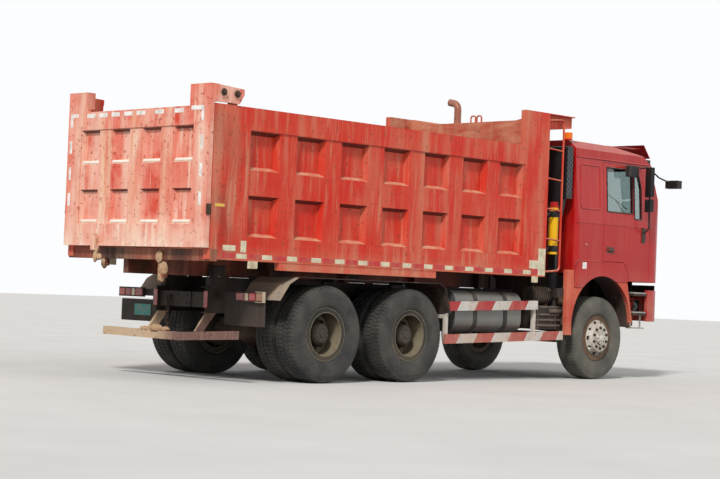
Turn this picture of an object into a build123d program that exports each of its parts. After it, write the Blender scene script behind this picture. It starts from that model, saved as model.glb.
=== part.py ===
from build123d import *
import os
from math import cos, radians, sin

os.makedirs("parts", exist_ok=True)

# Frame of the truck: +Z up, the truck faces -Y, its left side is +X, the ground is Z = 0 and the
# origin lies under the middle of the whole length. A station is a length in mm behind the front
# axle, so a negative station is ahead of it. The helpers below take stations where others take Y.

# Whole truck
FRONT_OVERHANG = 1480.0
WHEELBASE = 3783.0
TANDEM = 1400.0
REAR_OVERHANG = 1875.0
KEEPER_REACH = 62.0
MIRROR_REACH = 1450.0

AXLE_2 = WHEELBASE
AXLE_3 = WHEELBASE + TANDEM
TAILGATE_REAR = AXLE_3 + REAR_OVERHANG
AXLE_1_Y = -(TAILGATE_REAR + KEEPER_REACH - FRONT_OVERHANG) / 2
TANDEM_MIDDLE = WHEELBASE + TANDEM / 2

# Clearances
SEAT = 0.3
PIN_GAP = 0.5
RUN_GAP = 6.0

# Wheels
TYRE_R = 552.0
TYRE_HALF = 157.0
RIM_SEAT_R = 256.0
RIM_FLANGE_R = 304.0
RIM_INNER_R = 244.0
RIM_HALF = 118.0
RIM_T = 12.0
FRONT_TYRE_X = 1018.0
TWIN_SPACING = 330.0
REAR_OUTER_X = 1088.0
HUB_Z = TYRE_R

# Frame rails
RAIL_OUT = 430.0
RAIL_T = 8.0
RAIL_FLANGE = 80.0
RAIL_LOW = 745.0
RAIL_TOP = 1035.0
RAIL_FRONT = -1380.0
RAIL_REAR = TAILGATE_REAR - 745
MID_CROSS = AXLE_2 - 1083
ON_RAIL = RAIL_OUT + SEAT

# Tipping subframe, tip axis and front hoist
SUB_TOP = 1150.0
SUB_FRONT = 940.0
SUB_REAR = RAIL_REAR - 63
SUB_WIDE = 80.0
TIP_STATION = RAIL_REAR - 123
TIP_Z = 1220.0
TIP_PIN_R = 32.0
HOIST_STATION = 1140.0
HOIST_FOOT_Z = 1075.0
TRUNNION_Z = 1400.0
TRUNNION_R = 20.0

# Dump body
BODY_HALF = 1228.0
BODY_FRONT = 1270.0
BODY_REAR = TAILGATE_REAR - 72
BODY_LOW = 1330.0
SIDE_TOP = 2984.0
POST_TOP = 3436.0
POST_REAR = 1750.0
SIDE_PLATE = 8.0
SIDE_DEPTH = 93.0
FLOOR_TOP = 1440.0
FLOOR_T = 10.0
HEAD_T = 60.0
POCKET_TAPER = 28.0
WALL_IN = BODY_HALF - SIDE_DEPTH
FLOOR_HALF = WALL_IN - SEAT

# Tailgate
TAILGATE_HALF = 1222.0
TAILGATE_LOW = 1450.0
TAILGATE_TOP = 2960.0
TAILGATE_DEPTH = 66.0
FIELD_SINK = 14.0
HINGE_STATION = TAILGATE_REAR - 369
HINGE_Z = 3104.0
HINGE_R = 24.0

# Cab
CAB_HALF = 1222.0
CAB_ROOF_HALF = 1168.0
CAB_WALL = 45.0
CAB_FRONT = -1400.0
CAB_REAR = 627.0
CAB_FLOOR = 1400.0
CAB_SEAM = 2946.0
SKIRT_LOW = 1213.0
WAIST_Z = 2080.0
KINK_Z = 1880.0
FRONT_LEAN = 15.0
ROOF_EDGE = (-1075.0, CAB_SEAM)
ROOF_FRONT = (-900.0, CAB_SEAM + 114)
ROOF_KINK = (-380.0, CAB_SEAM + 204)
ROOF_REAR = (587.0, CAB_SEAM + 216)
CAB_CORNER = 270.0
CAB_REAR_CORNER = 80.0
ARCH_CENTRE = (5.0, 715.0)
ARCH_R = 665.0
TILT_STATION = -1330.0
TILT_Z = 1100.0
TILT_PIN_R = 20.0
DOOR_GAP = 6.0
GLASS_INSET = 12.0
GLASS_T = 6.0

SIDES = (("right", -1), ("left", 1))


def sta(distance):
    """Y of a station."""
    return AXLE_1_Y + distance


def place(point):
    """A point given as X, station and Z, in the truck's own frame."""
    return (point[0], sta(point[1]), point[2])


def block(x0, x1, front, rear, z0, z1, mode=Mode.ADD):
    """A box between two corners."""
    with Locations(((x0 + x1) / 2, sta((front + rear) / 2), (z0 + z1) / 2)):
        Box(abs(x1 - x0), abs(rear - front), abs(z1 - z0), mode=mode)


def both_sides(x0, x1, front, rear, z0, z1, mode=Mode.ADD):
    """The same box on the left and on the right."""
    for side in (-1, 1):
        block(side * x0, side * x1, front, rear, z0, z1, mode)


def rod(start, end, radius, mode=Mode.ADD):
    """A round bar from one point to another."""
    run = Vector(*place(end)) - Vector(*place(start))
    with Locations(Plane(origin=place(start), z_dir=run)):
        Cylinder(radius, run.length, align=(Align.CENTER, Align.CENTER, Align.MIN), mode=mode)


def bent_rod(points, bend, radius):
    """A round bar along straight runs with one bend radius."""
    with BuildLine() as route:
        FilletPolyline(*[place(point) for point in points], radius=bend)
    with BuildSketch(Plane(origin=route.line @ 0, z_dir=route.line % 0)) as section:
        Circle(radius)
    sweep(section.sketch, path=route.line)


def side_face(points):
    """A face from an outline in stations and heights, to be placed in a plane along Y and Z."""
    with BuildSketch(mode=Mode.PRIVATE) as outline:
        with BuildLine():
            Polyline(*[(sta(station), z) for station, z in points], close=True)
        make_face()
    return outline.sketch


def side_plate(points, x0, x1, mode=Mode.ADD):
    """A plate seen from the side: its outline in stations and heights, its thickness along X."""
    face = Plane.YZ.offset(min(x0, x1)) * side_face(points)
    extrude(face, amount=abs(x1 - x0), mode=mode)


def cross_plate(points, front, rear, mode=Mode.ADD):
    """A plate seen from the rear: its outline in X and Z, its thickness along Y."""
    with BuildSketch(Plane.XZ.offset(-sta(rear))) as outline:
        with BuildLine():
            Polyline(*points, close=True)
        make_face()
    extrude(outline.sketch, amount=rear - front, mode=mode)


def rounded_bar(x0, x1, front, rear, z0, z1, corner):
    """A box along Y with its long edges rounded."""
    with BuildSketch(Plane.XZ.offset(-sta(rear))) as outline:
        with Locations(((x0 + x1) / 2, (z0 + z1) / 2)):
            RectangleRounded(abs(x1 - x0), abs(z1 - z0), corner)
    extrude(outline.sketch, amount=rear - front)


def folded_sheet(points, thick, x0, x1):
    """A sheet folded along an outline in stations and heights, its thickness on the lower side."""
    with BuildSketch(Plane.YZ.offset(min(x0, x1))) as section:
        with BuildLine():
            Polyline(*[(sta(station), z) for station, z in points])
            offset(amount=thick, side=Side.RIGHT)
        make_face()
    extrude(section.sketch, amount=abs(x1 - x0))


def arch(radius, x0, x1, mode):
    """A cylinder about the front wheel arch's centre."""
    rod((x0, *ARCH_CENTRE), (x1, *ARCH_CENTRE), radius, mode=mode)


def turned(station, outline, mode=Mode.ADD):
    """A turned piece about an axle along X: its outline in X and radius."""
    with BuildSketch(Plane(origin=(0, sta(station), HUB_Z), x_dir=(1, 0, 0), z_dir=(0, -1, 0))) as section:
        with BuildLine():
            Polyline(*outline, close=True)
        make_face()
    revolve(section.sketch, axis=Axis((0, sta(station), HUB_Z), (1, 0, 0)), mode=mode)


def save(part, label):
    """Labels a finished piece and writes it."""
    part.label = label
    export_step(part, f"parts/{label}.step")


# Frame rails: two channels, their cross members, the cab's towers and mounts, and the tow plate
CROSS_STATIONS = (-1270.0, 1500.0, MID_CROSS, TANDEM_MIDDLE, RAIL_REAR - 413, RAIL_REAR - 83)
CROSS_HALF = 40.0
CROSS_MARGIN = 60.0
TOWER_HALF = 45.0
TOWER_T = 35.0
TILT_PIN_REACH = 40.0
TOW_HALF = 140.0
TOW_T = 15.0
TOW_BOLT_X = 160.0
TOW_BOLT_Z = 100.0
TOW_BOLT_R = 10.5
TOW_Z = (RAIL_LOW + RAIL_TOP) / 2
with BuildPart() as frame_rails:
    both_sides(RAIL_OUT, RAIL_OUT - RAIL_T, RAIL_FRONT, RAIL_REAR, RAIL_LOW, RAIL_TOP)
    for low in (RAIL_LOW, RAIL_TOP - RAIL_T):
        both_sides(RAIL_OUT, RAIL_OUT - RAIL_FLANGE, RAIL_FRONT, RAIL_REAR, low, low + RAIL_T)
    for station in CROSS_STATIONS:
        block(-RAIL_OUT + RAIL_T, RAIL_OUT - RAIL_T, station - CROSS_HALF, station + CROSS_HALF,
              RAIL_LOW + CROSS_MARGIN, RAIL_TOP - CROSS_MARGIN)
    both_sides(RAIL_OUT, RAIL_OUT - TOWER_T, TILT_STATION - TOWER_HALF, TILT_STATION + TOWER_HALF, RAIL_TOP,
               TILT_Z + 2 * TILT_PIN_R)
    pin_end = RAIL_OUT + TILT_PIN_REACH
    rod((-pin_end, TILT_STATION, TILT_Z), (pin_end, TILT_STATION, TILT_Z), TILT_PIN_R)
    both_sides(RAIL_OUT, RAIL_OUT - 70, 450, 530, RAIL_TOP, CAB_FLOOR - SEAT)
    tow_face = CROSS_STATIONS[-1] + CROSS_HALF + TOW_T
    block(-TOW_HALF, TOW_HALF, tow_face - TOW_T, tow_face, RAIL_LOW + CROSS_MARGIN, RAIL_TOP - CROSS_MARGIN)
    for x in (-TOW_BOLT_X / 2, TOW_BOLT_X / 2):
        for z in (TOW_Z - TOW_BOLT_Z / 2, TOW_Z + TOW_BOLT_Z / 2):
            rod((x, tow_face - 2 * TOW_T, z), (x, tow_face, z), TOW_BOLT_R, mode=Mode.SUBTRACT)
save(frame_rails.part, "frame_rails")

# Tipping subframe: two rails, cross beams, the tip shaft with its bearings, and the hoist's foot
SUB_BEAM_HALF = 60.0
SUB_BEAM_TOP = SUB_TOP - 20.0
FOOT_BEAMS = (HOIST_STATION - 140.0, HOIST_STATION + 150.0)
LUG_IN = 52.0
LUG_T = 20.0
EYE_HALF = 40.0
with BuildPart() as subframe:
    both_sides(RAIL_OUT, RAIL_OUT - SUB_WIDE, SUB_FRONT, SUB_REAR, RAIL_TOP + SEAT, SUB_TOP)
    for station in (*FOOT_BEAMS, MID_CROSS, TANDEM_MIDDLE, RAIL_REAR - 613):
        block(-RAIL_OUT, RAIL_OUT, station - SUB_BEAM_HALF, station + SUB_BEAM_HALF, RAIL_TOP + SEAT, SUB_BEAM_TOP)
    both_sides(LUG_IN, LUG_IN + LUG_T, *FOOT_BEAMS, RAIL_TOP + SEAT, SUB_BEAM_TOP)
    for side in (-1, 1):
        rod((side * (EYE_HALF + 1), HOIST_STATION, HOIST_FOOT_Z), (side * LUG_IN, HOIST_STATION, HOIST_FOOT_Z),
            TRUNNION_R)
    both_sides(RAIL_OUT, RAIL_OUT - TOWER_T, TIP_STATION - 60, TIP_STATION + 60, SUB_TOP, TIP_Z + 60)
    both_sides(RAIL_OUT - 1, 560, TIP_STATION - 40, TIP_STATION + 40, SUB_TOP + 3, TIP_Z + 60)
    rod((-560, TIP_STATION, TIP_Z), (560, TIP_STATION, TIP_Z), TIP_PIN_R)
save(subframe.part, "subframe")

# Front axle beam with its kingpin eyes
KINGPIN_X = 890.0
KINGPIN_R = 20.0
EYE_R = 42.0
EYE_TALL = 70.0
BEAM_LOW = 62.0
BEAM_TOP = 48.0
BEAM_HALF = 40.0
with BuildPart() as front_axle:
    block(-KINGPIN_X, KINGPIN_X, -BEAM_HALF, BEAM_HALF, HUB_Z - BEAM_LOW, HUB_Z + BEAM_TOP)
    for radius, mode in ((EYE_R, Mode.ADD), (KINGPIN_R + PIN_GAP, Mode.SUBTRACT)):
        for side in (-1, 1):
            rod((side * KINGPIN_X, 0, HUB_Z - EYE_TALL), (side * KINGPIN_X, 0, HUB_Z + EYE_TALL), radius, mode=mode)
save(front_axle.part, "front_axle")

# Steering knuckles: yoke, kingpin, spindle and arm with its ball pin
YOKE_IN = EYE_TALL + 5
YOKE_OUT = YOKE_IN + 43
YOKE_HALF = 45.0
YOKE_BACK = KINGPIN_X + EYE_R + RUN_GAP
YOKE_FACE = YOKE_BACK + 30
SPINDLE_R = 45.0
SPINDLE_END = FRONT_TYRE_X + 120
ARM_END = 190.0
ARM_T = 26.0
BALL_X = KINGPIN_X
BALL_STATION = ARM_END - 20
BALL_R = 10.0
TIE_ROD_Z = HUB_Z - YOKE_OUT + 50
for name, side in SIDES:
    with BuildPart() as knuckle:
        for low in (YOKE_IN, -YOKE_OUT):
            block(side * (KINGPIN_X - EYE_R), side * YOKE_FACE, -YOKE_HALF, YOKE_HALF, HUB_Z + low,
                  HUB_Z + low + YOKE_OUT - YOKE_IN)
        block(side * YOKE_BACK, side * YOKE_FACE, -YOKE_HALF, YOKE_HALF, HUB_Z - YOKE_OUT, HUB_Z + YOKE_OUT)
        rod((side * KINGPIN_X, 0, HUB_Z - YOKE_IN), (side * KINGPIN_X, 0, HUB_Z + YOKE_IN), KINGPIN_R)
        rod((side * YOKE_FACE, 0, HUB_Z), (side * SPINDLE_END, 0, HUB_Z), SPINDLE_R)
        block(side * (BALL_X - 15), side * (BALL_X + 15), YOKE_HALF, ARM_END, HUB_Z - YOKE_OUT,
              HUB_Z - YOKE_OUT + ARM_T)
        rod((side * BALL_X, BALL_STATION, HUB_Z - YOKE_OUT + ARM_T), (side * BALL_X, BALL_STATION, TIE_ROD_Z + 10),
            BALL_R)
    save(knuckle.part, f"knuckle_{name}")

# Tie rod over the ball pins of the two knuckle arms
with BuildPart() as tie_rod:
    rod((-BALL_X, BALL_STATION, TIE_ROD_Z), (BALL_X, BALL_STATION, TIE_ROD_Z), 16)
    for radius, half, mode in ((24, 15, Mode.ADD), (BALL_R + PIN_GAP, 20, Mode.SUBTRACT)):
        for side in (-1, 1):
            rod((side * BALL_X, BALL_STATION, TIE_ROD_Z - half), (side * BALL_X, BALL_STATION, TIE_ROD_Z + half),
                radius, mode=mode)
save(tie_rod.part, "tie_rod")


def leaf_pack(x0, x1, station, half, seat_z, thick, rise):
    """A pack of leaf springs: thick in the middle and thin at its two raised ends."""
    under = [(share, drop) for share, drop in ((-1, 1), (-0.5, 0.45), (0, 0), (0.5, 0.45), (1, 1))]
    upper = ((1, 1, 0.25), (0.5, 0.45, 0.6), (0.12, 0, 1), (-0.12, 0, 1), (-0.5, 0.45, 0.6), (-1, 1, 0.25))
    outline = [(station + share * half, seat_z + drop * rise) for share, drop in under]
    outline += [(station + share * half, seat_z + drop * rise + stack * thick) for share, drop, stack in upper]
    side_plate(outline, x0, x1)


# Leaf springs: two packs over the front axle and two over the drive axles, on their trunnion brackets
FRONT_LEAF_IN = RAIL_OUT - RAIL_FLANGE
FRONT_LEAF_HALF = 780.0
FRONT_LEAF_RISE = 70.0
REAR_LEAF_IN = RAIL_OUT + 10
REAR_LEAF_OUT = REAR_LEAF_IN + 90
AXLE_TUBE_R = 80.0
SPRING_SEAT = 25.0
SPRING_SEAT_HALF = 60.0
with BuildPart() as leaf_springs:
    for side in (-1, 1):
        seat_z = HUB_Z + BEAM_TOP + SEAT
        leaf_pack(side * FRONT_LEAF_IN, side * RAIL_OUT, 0, FRONT_LEAF_HALF, seat_z, 80, FRONT_LEAF_RISE)
        for end in (-1, 1):
            block(side * FRONT_LEAF_IN, side * RAIL_OUT, end * (FRONT_LEAF_HALF - 60), end * (FRONT_LEAF_HALF + 20),
                  seat_z + FRONT_LEAF_RISE, RAIL_LOW - SEAT)
        leaf_pack(side * REAR_LEAF_IN, side * REAR_LEAF_OUT, TANDEM_MIDDLE, TANDEM / 2 + SPRING_SEAT_HALF,
                  HUB_Z + AXLE_TUBE_R + SPRING_SEAT + SEAT, 130, 0)
        block(side * ON_RAIL, side * REAR_LEAF_OUT, TANDEM_MIDDLE - 110, TANDEM_MIDDLE + 110,
              HUB_Z + AXLE_TUBE_R + 70, RAIL_LOW + 140)
save(leaf_springs.part, "leaf_springs")

# Drive axles: two tubes with their differentials and spring seats, and the shaft between them
DIFF_R = 190.0
NOSE_R = 110.0
NOSE_LONG = 330.0
NOSE_Z = HUB_Z + 20
SPINDLE_REAR_R = 55.0
SPINDLE_REAR_END = 900.0
INNER_TWIN_X = REAR_OUTER_X - TWIN_SPACING
HUB_IN = 590.0
with BuildPart() as drive_axles:
    for station in (AXLE_2, AXLE_3):
        for reach, radius in ((HUB_IN - RUN_GAP, AXLE_TUBE_R), (SPINDLE_REAR_END, SPINDLE_REAR_R)):
            rod((-reach, station, HUB_Z), (reach, station, HUB_Z), radius)
        with Locations((0, sta(station), HUB_Z)):
            Sphere(DIFF_R)
        rod((0, station - NOSE_LONG, NOSE_Z), (0, station, NOSE_Z), NOSE_R)
        both_sides(REAR_LEAF_IN, REAR_LEAF_OUT, station - SPRING_SEAT_HALF, station + SPRING_SEAT_HALF, HUB_Z,
                   HUB_Z + AXLE_TUBE_R + SPRING_SEAT)
    rod((0, AXLE_2, NOSE_Z), (0, AXLE_3 - NOSE_LONG, NOSE_Z), 45)
save(drive_axles.part, "drive_axles")

# Engine with gearbox and the shaft to the first drive axle
ENGINE_HALF = 320.0
GEARBOX_REAR = 1060.0
SHAFT_END = AXLE_2 - NOSE_LONG - SEAT
with BuildPart() as powertrain:
    block(-ENGINE_HALF, ENGINE_HALF, -900, 380, 640, 1370)
    block(-200, 200, 380, GEARBOX_REAR, 700, 1000)
    rod((0, GEARBOX_REAR - 20, 760), (0, SHAFT_END - 30, NOSE_Z), 50)
    rod((0, SHAFT_END - 60, NOSE_Z), (0, SHAFT_END, NOSE_Z), 75)
save(powertrain.part, "powertrain")


def tyre_outline(centre):
    """Half section of a tyre, in X and radius."""
    half = ((105.5, RIM_SEAT_R + 0.5), (105.5, RIM_FLANGE_R + 1), (126, RIM_FLANGE_R + 4), (152, 360),
            (TYRE_HALF, 430), (148, TYRE_R - 60), (132, TYRE_R - 24), (110, TYRE_R - 3), (90, TYRE_R))
    return [(centre - x, r) for x, r in half] + [(centre + x, r) for x, r in reversed(half)]


def rim_outline(centre):
    """Half section of a rim's barrel with its two flanges, in X and radius."""
    lip = RIM_HALF - RIM_T
    points = ((-RIM_HALF, RIM_INNER_R), (-RIM_HALF, RIM_FLANGE_R), (-lip, RIM_FLANGE_R), (-lip, RIM_SEAT_R),
              (lip, RIM_SEAT_R), (lip, RIM_FLANGE_R), (RIM_HALF, RIM_FLANGE_R), (RIM_HALF, RIM_INNER_R))
    return [(centre + x, r) for x, r in points]


def hand_holes(station, x0, x1):
    """A ring of oval holes through a wheel disc."""
    with BuildSketch(Plane(origin=(x0, sta(station), HUB_Z), x_dir=(0, 1, 0), z_dir=(1, 0, 0))) as ring:
        with PolarLocations(HOLE_RING_R, HOLE_COUNT):
            SlotOverall(HOLE_LONG, HOLE_WIDE, rotation=90)
    extrude(ring.sketch, amount=x1 - x0, mode=Mode.SUBTRACT)


# Front wheels: one tyre and one rim with its hub, disc and cap
HUB_BORE = SPINDLE_R + PIN_GAP
HOLE_RING_R = 213.0
HOLE_COUNT = 10
HOLE_LONG = 62.0
HOLE_WIDE = 34.0
DISC_FACE = FRONT_TYRE_X + 183
CAP_FACE = DISC_FACE + 29
FRONT_DISC = ((FRONT_TYRE_X + RIM_HALF - 19, RIM_INNER_R + 2), (FRONT_TYRE_X + RIM_HALF, RIM_INNER_R + 2),
              (DISC_FACE, 178), (DISC_FACE, 90), (CAP_FACE, 84), (CAP_FACE, 0), (SPINDLE_END + 4, 0),
              (SPINDLE_END + 4, HUB_BORE), (YOKE_FACE + 22, HUB_BORE), (YOKE_FACE + 22, 130),
              (DISC_FACE - 18, 130), (DISC_FACE - 18, 172))
for name, side in SIDES:
    with BuildPart() as tyre:
        turned(0, tyre_outline(side * FRONT_TYRE_X))
    save(tyre.part, f"tyre_front_{name}")
    with BuildPart() as rim:
        turned(0, rim_outline(side * FRONT_TYRE_X))
        turned(0, [(side * x, r) for x, r in FRONT_DISC])
        hand_holes(0, min(side * FRONT_TYRE_X, side * CAP_FACE), max(side * FRONT_TYRE_X, side * CAP_FACE))
    save(rim.part, f"rim_front_{name}")

# Twin wheels: two tyres, and two rims back to back on one hub with its drum
TWIN_MIDDLE = (INNER_TWIN_X + REAR_OUTER_X) / 2
DRUM_R = 205.0
TWIN_HUB = ((HUB_IN, SPINDLE_REAR_R + PIN_GAP), (HUB_IN, DRUM_R), (TWIN_MIDDLE - 60, DRUM_R),
            (TWIN_MIDDLE - 60, 150), (TWIN_MIDDLE + 90, 150), (1120, 125), (1151, 95), (1151, 0),
            (SPINDLE_REAR_END + 5, 0), (SPINDLE_REAR_END + 5, SPINDLE_REAR_R + PIN_GAP))
DISH_REACH = TWIN_SPACING / 2 - RIM_HALF + 21
TWIN_DISH = ((0, 100), (18, 100), (18, 190), (DISH_REACH, RIM_INNER_R + 2), (DISH_REACH - 18, RIM_INNER_R + 2),
             (0, 200))
for axle_name, station in (("middle", AXLE_2), ("rear", AXLE_3)):
    for name, side in SIDES:
        with BuildPart() as tyres:
            for centre in (INNER_TWIN_X, REAR_OUTER_X):
                turned(station, tyre_outline(side * centre))
        save(tyres.part, f"tyres_{axle_name}_{name}")
        with BuildPart() as rims:
            for centre in (INNER_TWIN_X, REAR_OUTER_X):
                turned(station, rim_outline(side * centre))
            for out in (-1, 1):
                turned(station, [(side * TWIN_MIDDLE + out * x, r) for x, r in TWIN_DISH])
            hand_holes(station, side * TWIN_MIDDLE - DISH_REACH, side * TWIN_MIDDLE + DISH_REACH)
            turned(station, [(side * x, r) for x, r in TWIN_HUB])
        save(rims.part, f"rims_{axle_name}_{name}")

# Fuel tank on the right, with its straps and brackets
TANK_FRONT = 1620.0
TANK_REAR = AXLE_2 - 883
TANK_OUT = 1140.0
TANK_IN = 600.0
TANK_LOW = 600.0
TANK_TOP = 1115.0
TANK_CORNER = 150.0
STRAP_T = 5.0
STRAP_HALF = 35.0
with BuildPart() as fuel_tank:
    rounded_bar(-TANK_OUT, -TANK_IN, TANK_FRONT, TANK_REAR, TANK_LOW, TANK_TOP, TANK_CORNER)
    for station in (TANK_FRONT + 316, TANK_REAR - 383):
        rounded_bar(-TANK_OUT - STRAP_T, -TANK_IN + STRAP_T, station - STRAP_HALF, station + STRAP_HALF,
                    TANK_LOW - STRAP_T, TANK_TOP + STRAP_T, TANK_CORNER + STRAP_T)
        block(-TANK_IN - 2, -ON_RAIL, station - STRAP_HALF, station + STRAP_HALF, 760, 960)
save(fuel_tank.part, "fuel_tank")

# Side guards: two bars that rise towards the front, with two posts and their arms, on each side
GUARD_X = 1180.0
GUARD_T = 30.0
GUARD_TALL = 113.0
GUARD_SLOPE = 0.0282
POST_T = 40.0
GUARD_REAR = AXLE_2 - 673
GUARD_POSTS = ((GUARD_REAR - 50, 462.0, 765.0), (1355.0, 520.0, 960.0))
GUARD_BARS = ((1330.0, GUARD_REAR - 60, 858.0), (783.0, GUARD_REAR, 458.0))
with BuildPart() as side_guards:
    for side in (-1, 1):
        for front, rear, low in GUARD_BARS:
            rise = GUARD_SLOPE * (rear - front)
            side_plate([(front, low + rise), (rear, low), (rear, low + GUARD_TALL),
                        (front, low + rise + GUARD_TALL)], side * GUARD_X, side * (GUARD_X - GUARD_T))
        for station, low, arm_low in GUARD_POSTS:
            block(side * (GUARD_X - GUARD_T), side * (GUARD_X - GUARD_T - POST_T), station - 25, station + 25, low,
                  low + 500)
            block(side * (GUARD_X - GUARD_T - POST_T), side * ON_RAIL, station - 25, station + 25, arm_low,
                  arm_low + 50)
save(side_guards.part, "side_guards")

# Battery box on the right, and the air tanks on the left with their bracket
AIR_TANK_R = 145.0
BATTERY_TOP = 950.0
with BuildPart() as side_boxes:
    block(-1100, -ON_RAIL, 752, 1319, 655, BATTERY_TOP)
    block(-1180, -1070, 806, 930, 1071, 1193)
    block(-1095, -1072, 850, 890, BATTERY_TOP - 1, 1080)
    for station in (1700.0, 2400.0):
        rod((760, station - 300, 850), (760, station + 300, 850), AIR_TANK_R)
        block(ON_RAIL, 640, station - 200, station + 200, 820, 880)
    block(640, 720, 1500, 2600, 820, 880)
save(side_boxes.part, "side_boxes")

# Ribbed air filter on the battery box, with its neck to the intake's foot
FILTER = (-950.0, 1090.0)
FILTER_R = 104.0
RIB_R = 118.0
RIB_PITCH = 44.0
with BuildPart() as air_filter:
    rod((FILTER[0], 880, FILTER[1]), (FILTER[0], 1245, FILTER[1]), FILTER_R)
    for k in range(8):
        front = 895 + k * RIB_PITCH
        rod((FILTER[0], front, FILTER[1]), (FILTER[0], front + RIB_PITCH / 2, FILTER[1]), RIB_R)
    rod((FILTER[0], 855 + SEAT, FILTER[1]), (FILTER[0], 880, FILTER[1]), 58)
    for station in (940, 1180):
        block(FILTER[0] - 60, FILTER[0] + 60, station - 20, station + 20, BATTERY_TOP + SEAT, FILTER[1] - 90)
save(air_filter.part, "air_filter")

# Safety chain hanging from the rear cross member: links crossed in turn below a lug
LINK_LONG = 76.0
LINK_WIDE = 44.0
LINK_T = 12.0
LINK_PITCH = 52.0
CHAIN_X = 227.0
CHAIN_STATION = RAIL_REAR - 7
CHAIN_TOP = 935.0
LINK_COUNT = 9
with BuildPart() as rear_chain:
    block(CHAIN_X - 8, CHAIN_X + 8, CROSS_STATIONS[-1] + CROSS_HALF + SEAT, CHAIN_STATION, CHAIN_TOP - 40, CHAIN_TOP)
    for k in range(LINK_COUNT):
        spot = place((CHAIN_X, CHAIN_STATION, CHAIN_TOP - 40 - k * LINK_PITCH))
        across = Plane(origin=spot, x_dir=(0, 0, 1), z_dir=(1, 0, 0) if k % 2 else (0, 1, 0))
        with BuildSketch(across) as link:
            SlotOverall(LINK_LONG, LINK_WIDE)
            SlotOverall(LINK_LONG - 2 * LINK_T, LINK_WIDE - 2 * LINK_T, mode=Mode.SUBTRACT)
        extrude(link.sketch, amount=LINK_T / 2, both=True)
save(rear_chain.part, "rear_chain")

# Exhaust on the left: silencer beside the frame and the stack behind the cab
STACK_X = 863.0
STACK_STATION = 688.0
STACK_R = 50.0
STACK_TOP = 3737.0
MOUTH_LONG = 150.0
MOUTH_RISE = 35.0
with BuildPart() as exhaust:
    rounded_bar(ON_RAIL, 1080, 820, 1320, 640, 1000, 60)
    bent_rod([(STACK_X, 900, 990), (STACK_X, 900, 1240), (STACK_X, STACK_STATION, 1560),
              (STACK_X, STACK_STATION, STACK_TOP - MOUTH_RISE), (STACK_X + MOUTH_LONG, STACK_STATION, STACK_TOP)],
             90, STACK_R)
save(exhaust.part, "exhaust")

# Raised air intake behind the cab on the right: head, duct and foot
INTAKE_LOW = 2370.0
INTAKE_TOP = 3060.0
with BuildPart() as air_intake:
    block(-1190, -810, 710, 830, INTAKE_LOW, INTAKE_TOP)
    fillet(air_intake.edges().filter_by(Axis.X).group_by(Axis.Z)[-1], radius=50)
    side_plate([(712, INTAKE_LOW), (828, INTAKE_LOW), (860, 2080), (800, 2080)], -1100, -900)
    block(-1060, -940, 805, 855, 960, 2080)
    block(-940, -ON_RAIL, 805, 855, 960, 1020)
save(air_intake.part, "air_intake")

# Rear under-run bar, slightly bent, with its two arms
BAR_PATH = ((1144.0, 489.0), (-200.0, 476.0), (-1144.0, 527.0))
BAR_HALF = 46.0
BAR_FRONT = RAIL_REAR + 127
BAR_REAR = BAR_FRONT + 60
with BuildPart() as underrun_bar:
    upper = [(x, z + BAR_HALF) for x, z in BAR_PATH]
    lower = [(x, z - BAR_HALF) for x, z in reversed(BAR_PATH)]
    cross_plate(upper + lower, BAR_FRONT, BAR_REAR)
    for side in (-1, 1):
        side_plate([(BAR_FRONT - 290, RAIL_LOW - SEAT), (BAR_FRONT - 150, RAIL_LOW - SEAT), (BAR_FRONT, 540),
                    (BAR_FRONT, 450),
                    (BAR_FRONT - 40, 450)], side * (RAIL_OUT - 4), side * (RAIL_OUT - 34))
save(underrun_bar.part, "underrun_bar")

# Tail lamps with their carrier, the blank number plate on its board and the right mud flap
CARRIER_REAR = RAIL_REAR - 143
LAMP_OUT = 1245.0
LENS_RECESSES = ((812.0, 940.0), (950.0, 1010.0), (1020.0, 1125.0), (1135.0, 1233.0))
with BuildPart() as tail_lamps:
    both_sides(ON_RAIL, 1200, CARRIER_REAR - 30, CARRIER_REAR, 905, 985)
    both_sides(800, LAMP_OUT, CARRIER_REAR, CARRIER_REAR + 35, 890, 1000)
    for inner, outer in LENS_RECESSES:
        both_sides(inner, outer, CARRIER_REAR + 25, CARRIER_REAR + 36, 902, 988, mode=Mode.SUBTRACT)
    block(-1235, -590, CARRIER_REAR - 20, CARRIER_REAR - 2, 622, 910)
    block(570, 1230, CARRIER_REAR - 20, CARRIER_REAR - 2, 610, 864)
    block(685, 989, CARRIER_REAR - 2, CARRIER_REAR + 1, 674, 811)
    block(600, 660, CARRIER_REAR - 20, CARRIER_REAR - 2, 864, 910)
save(tail_lamps.part, "tail_lamps")

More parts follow.
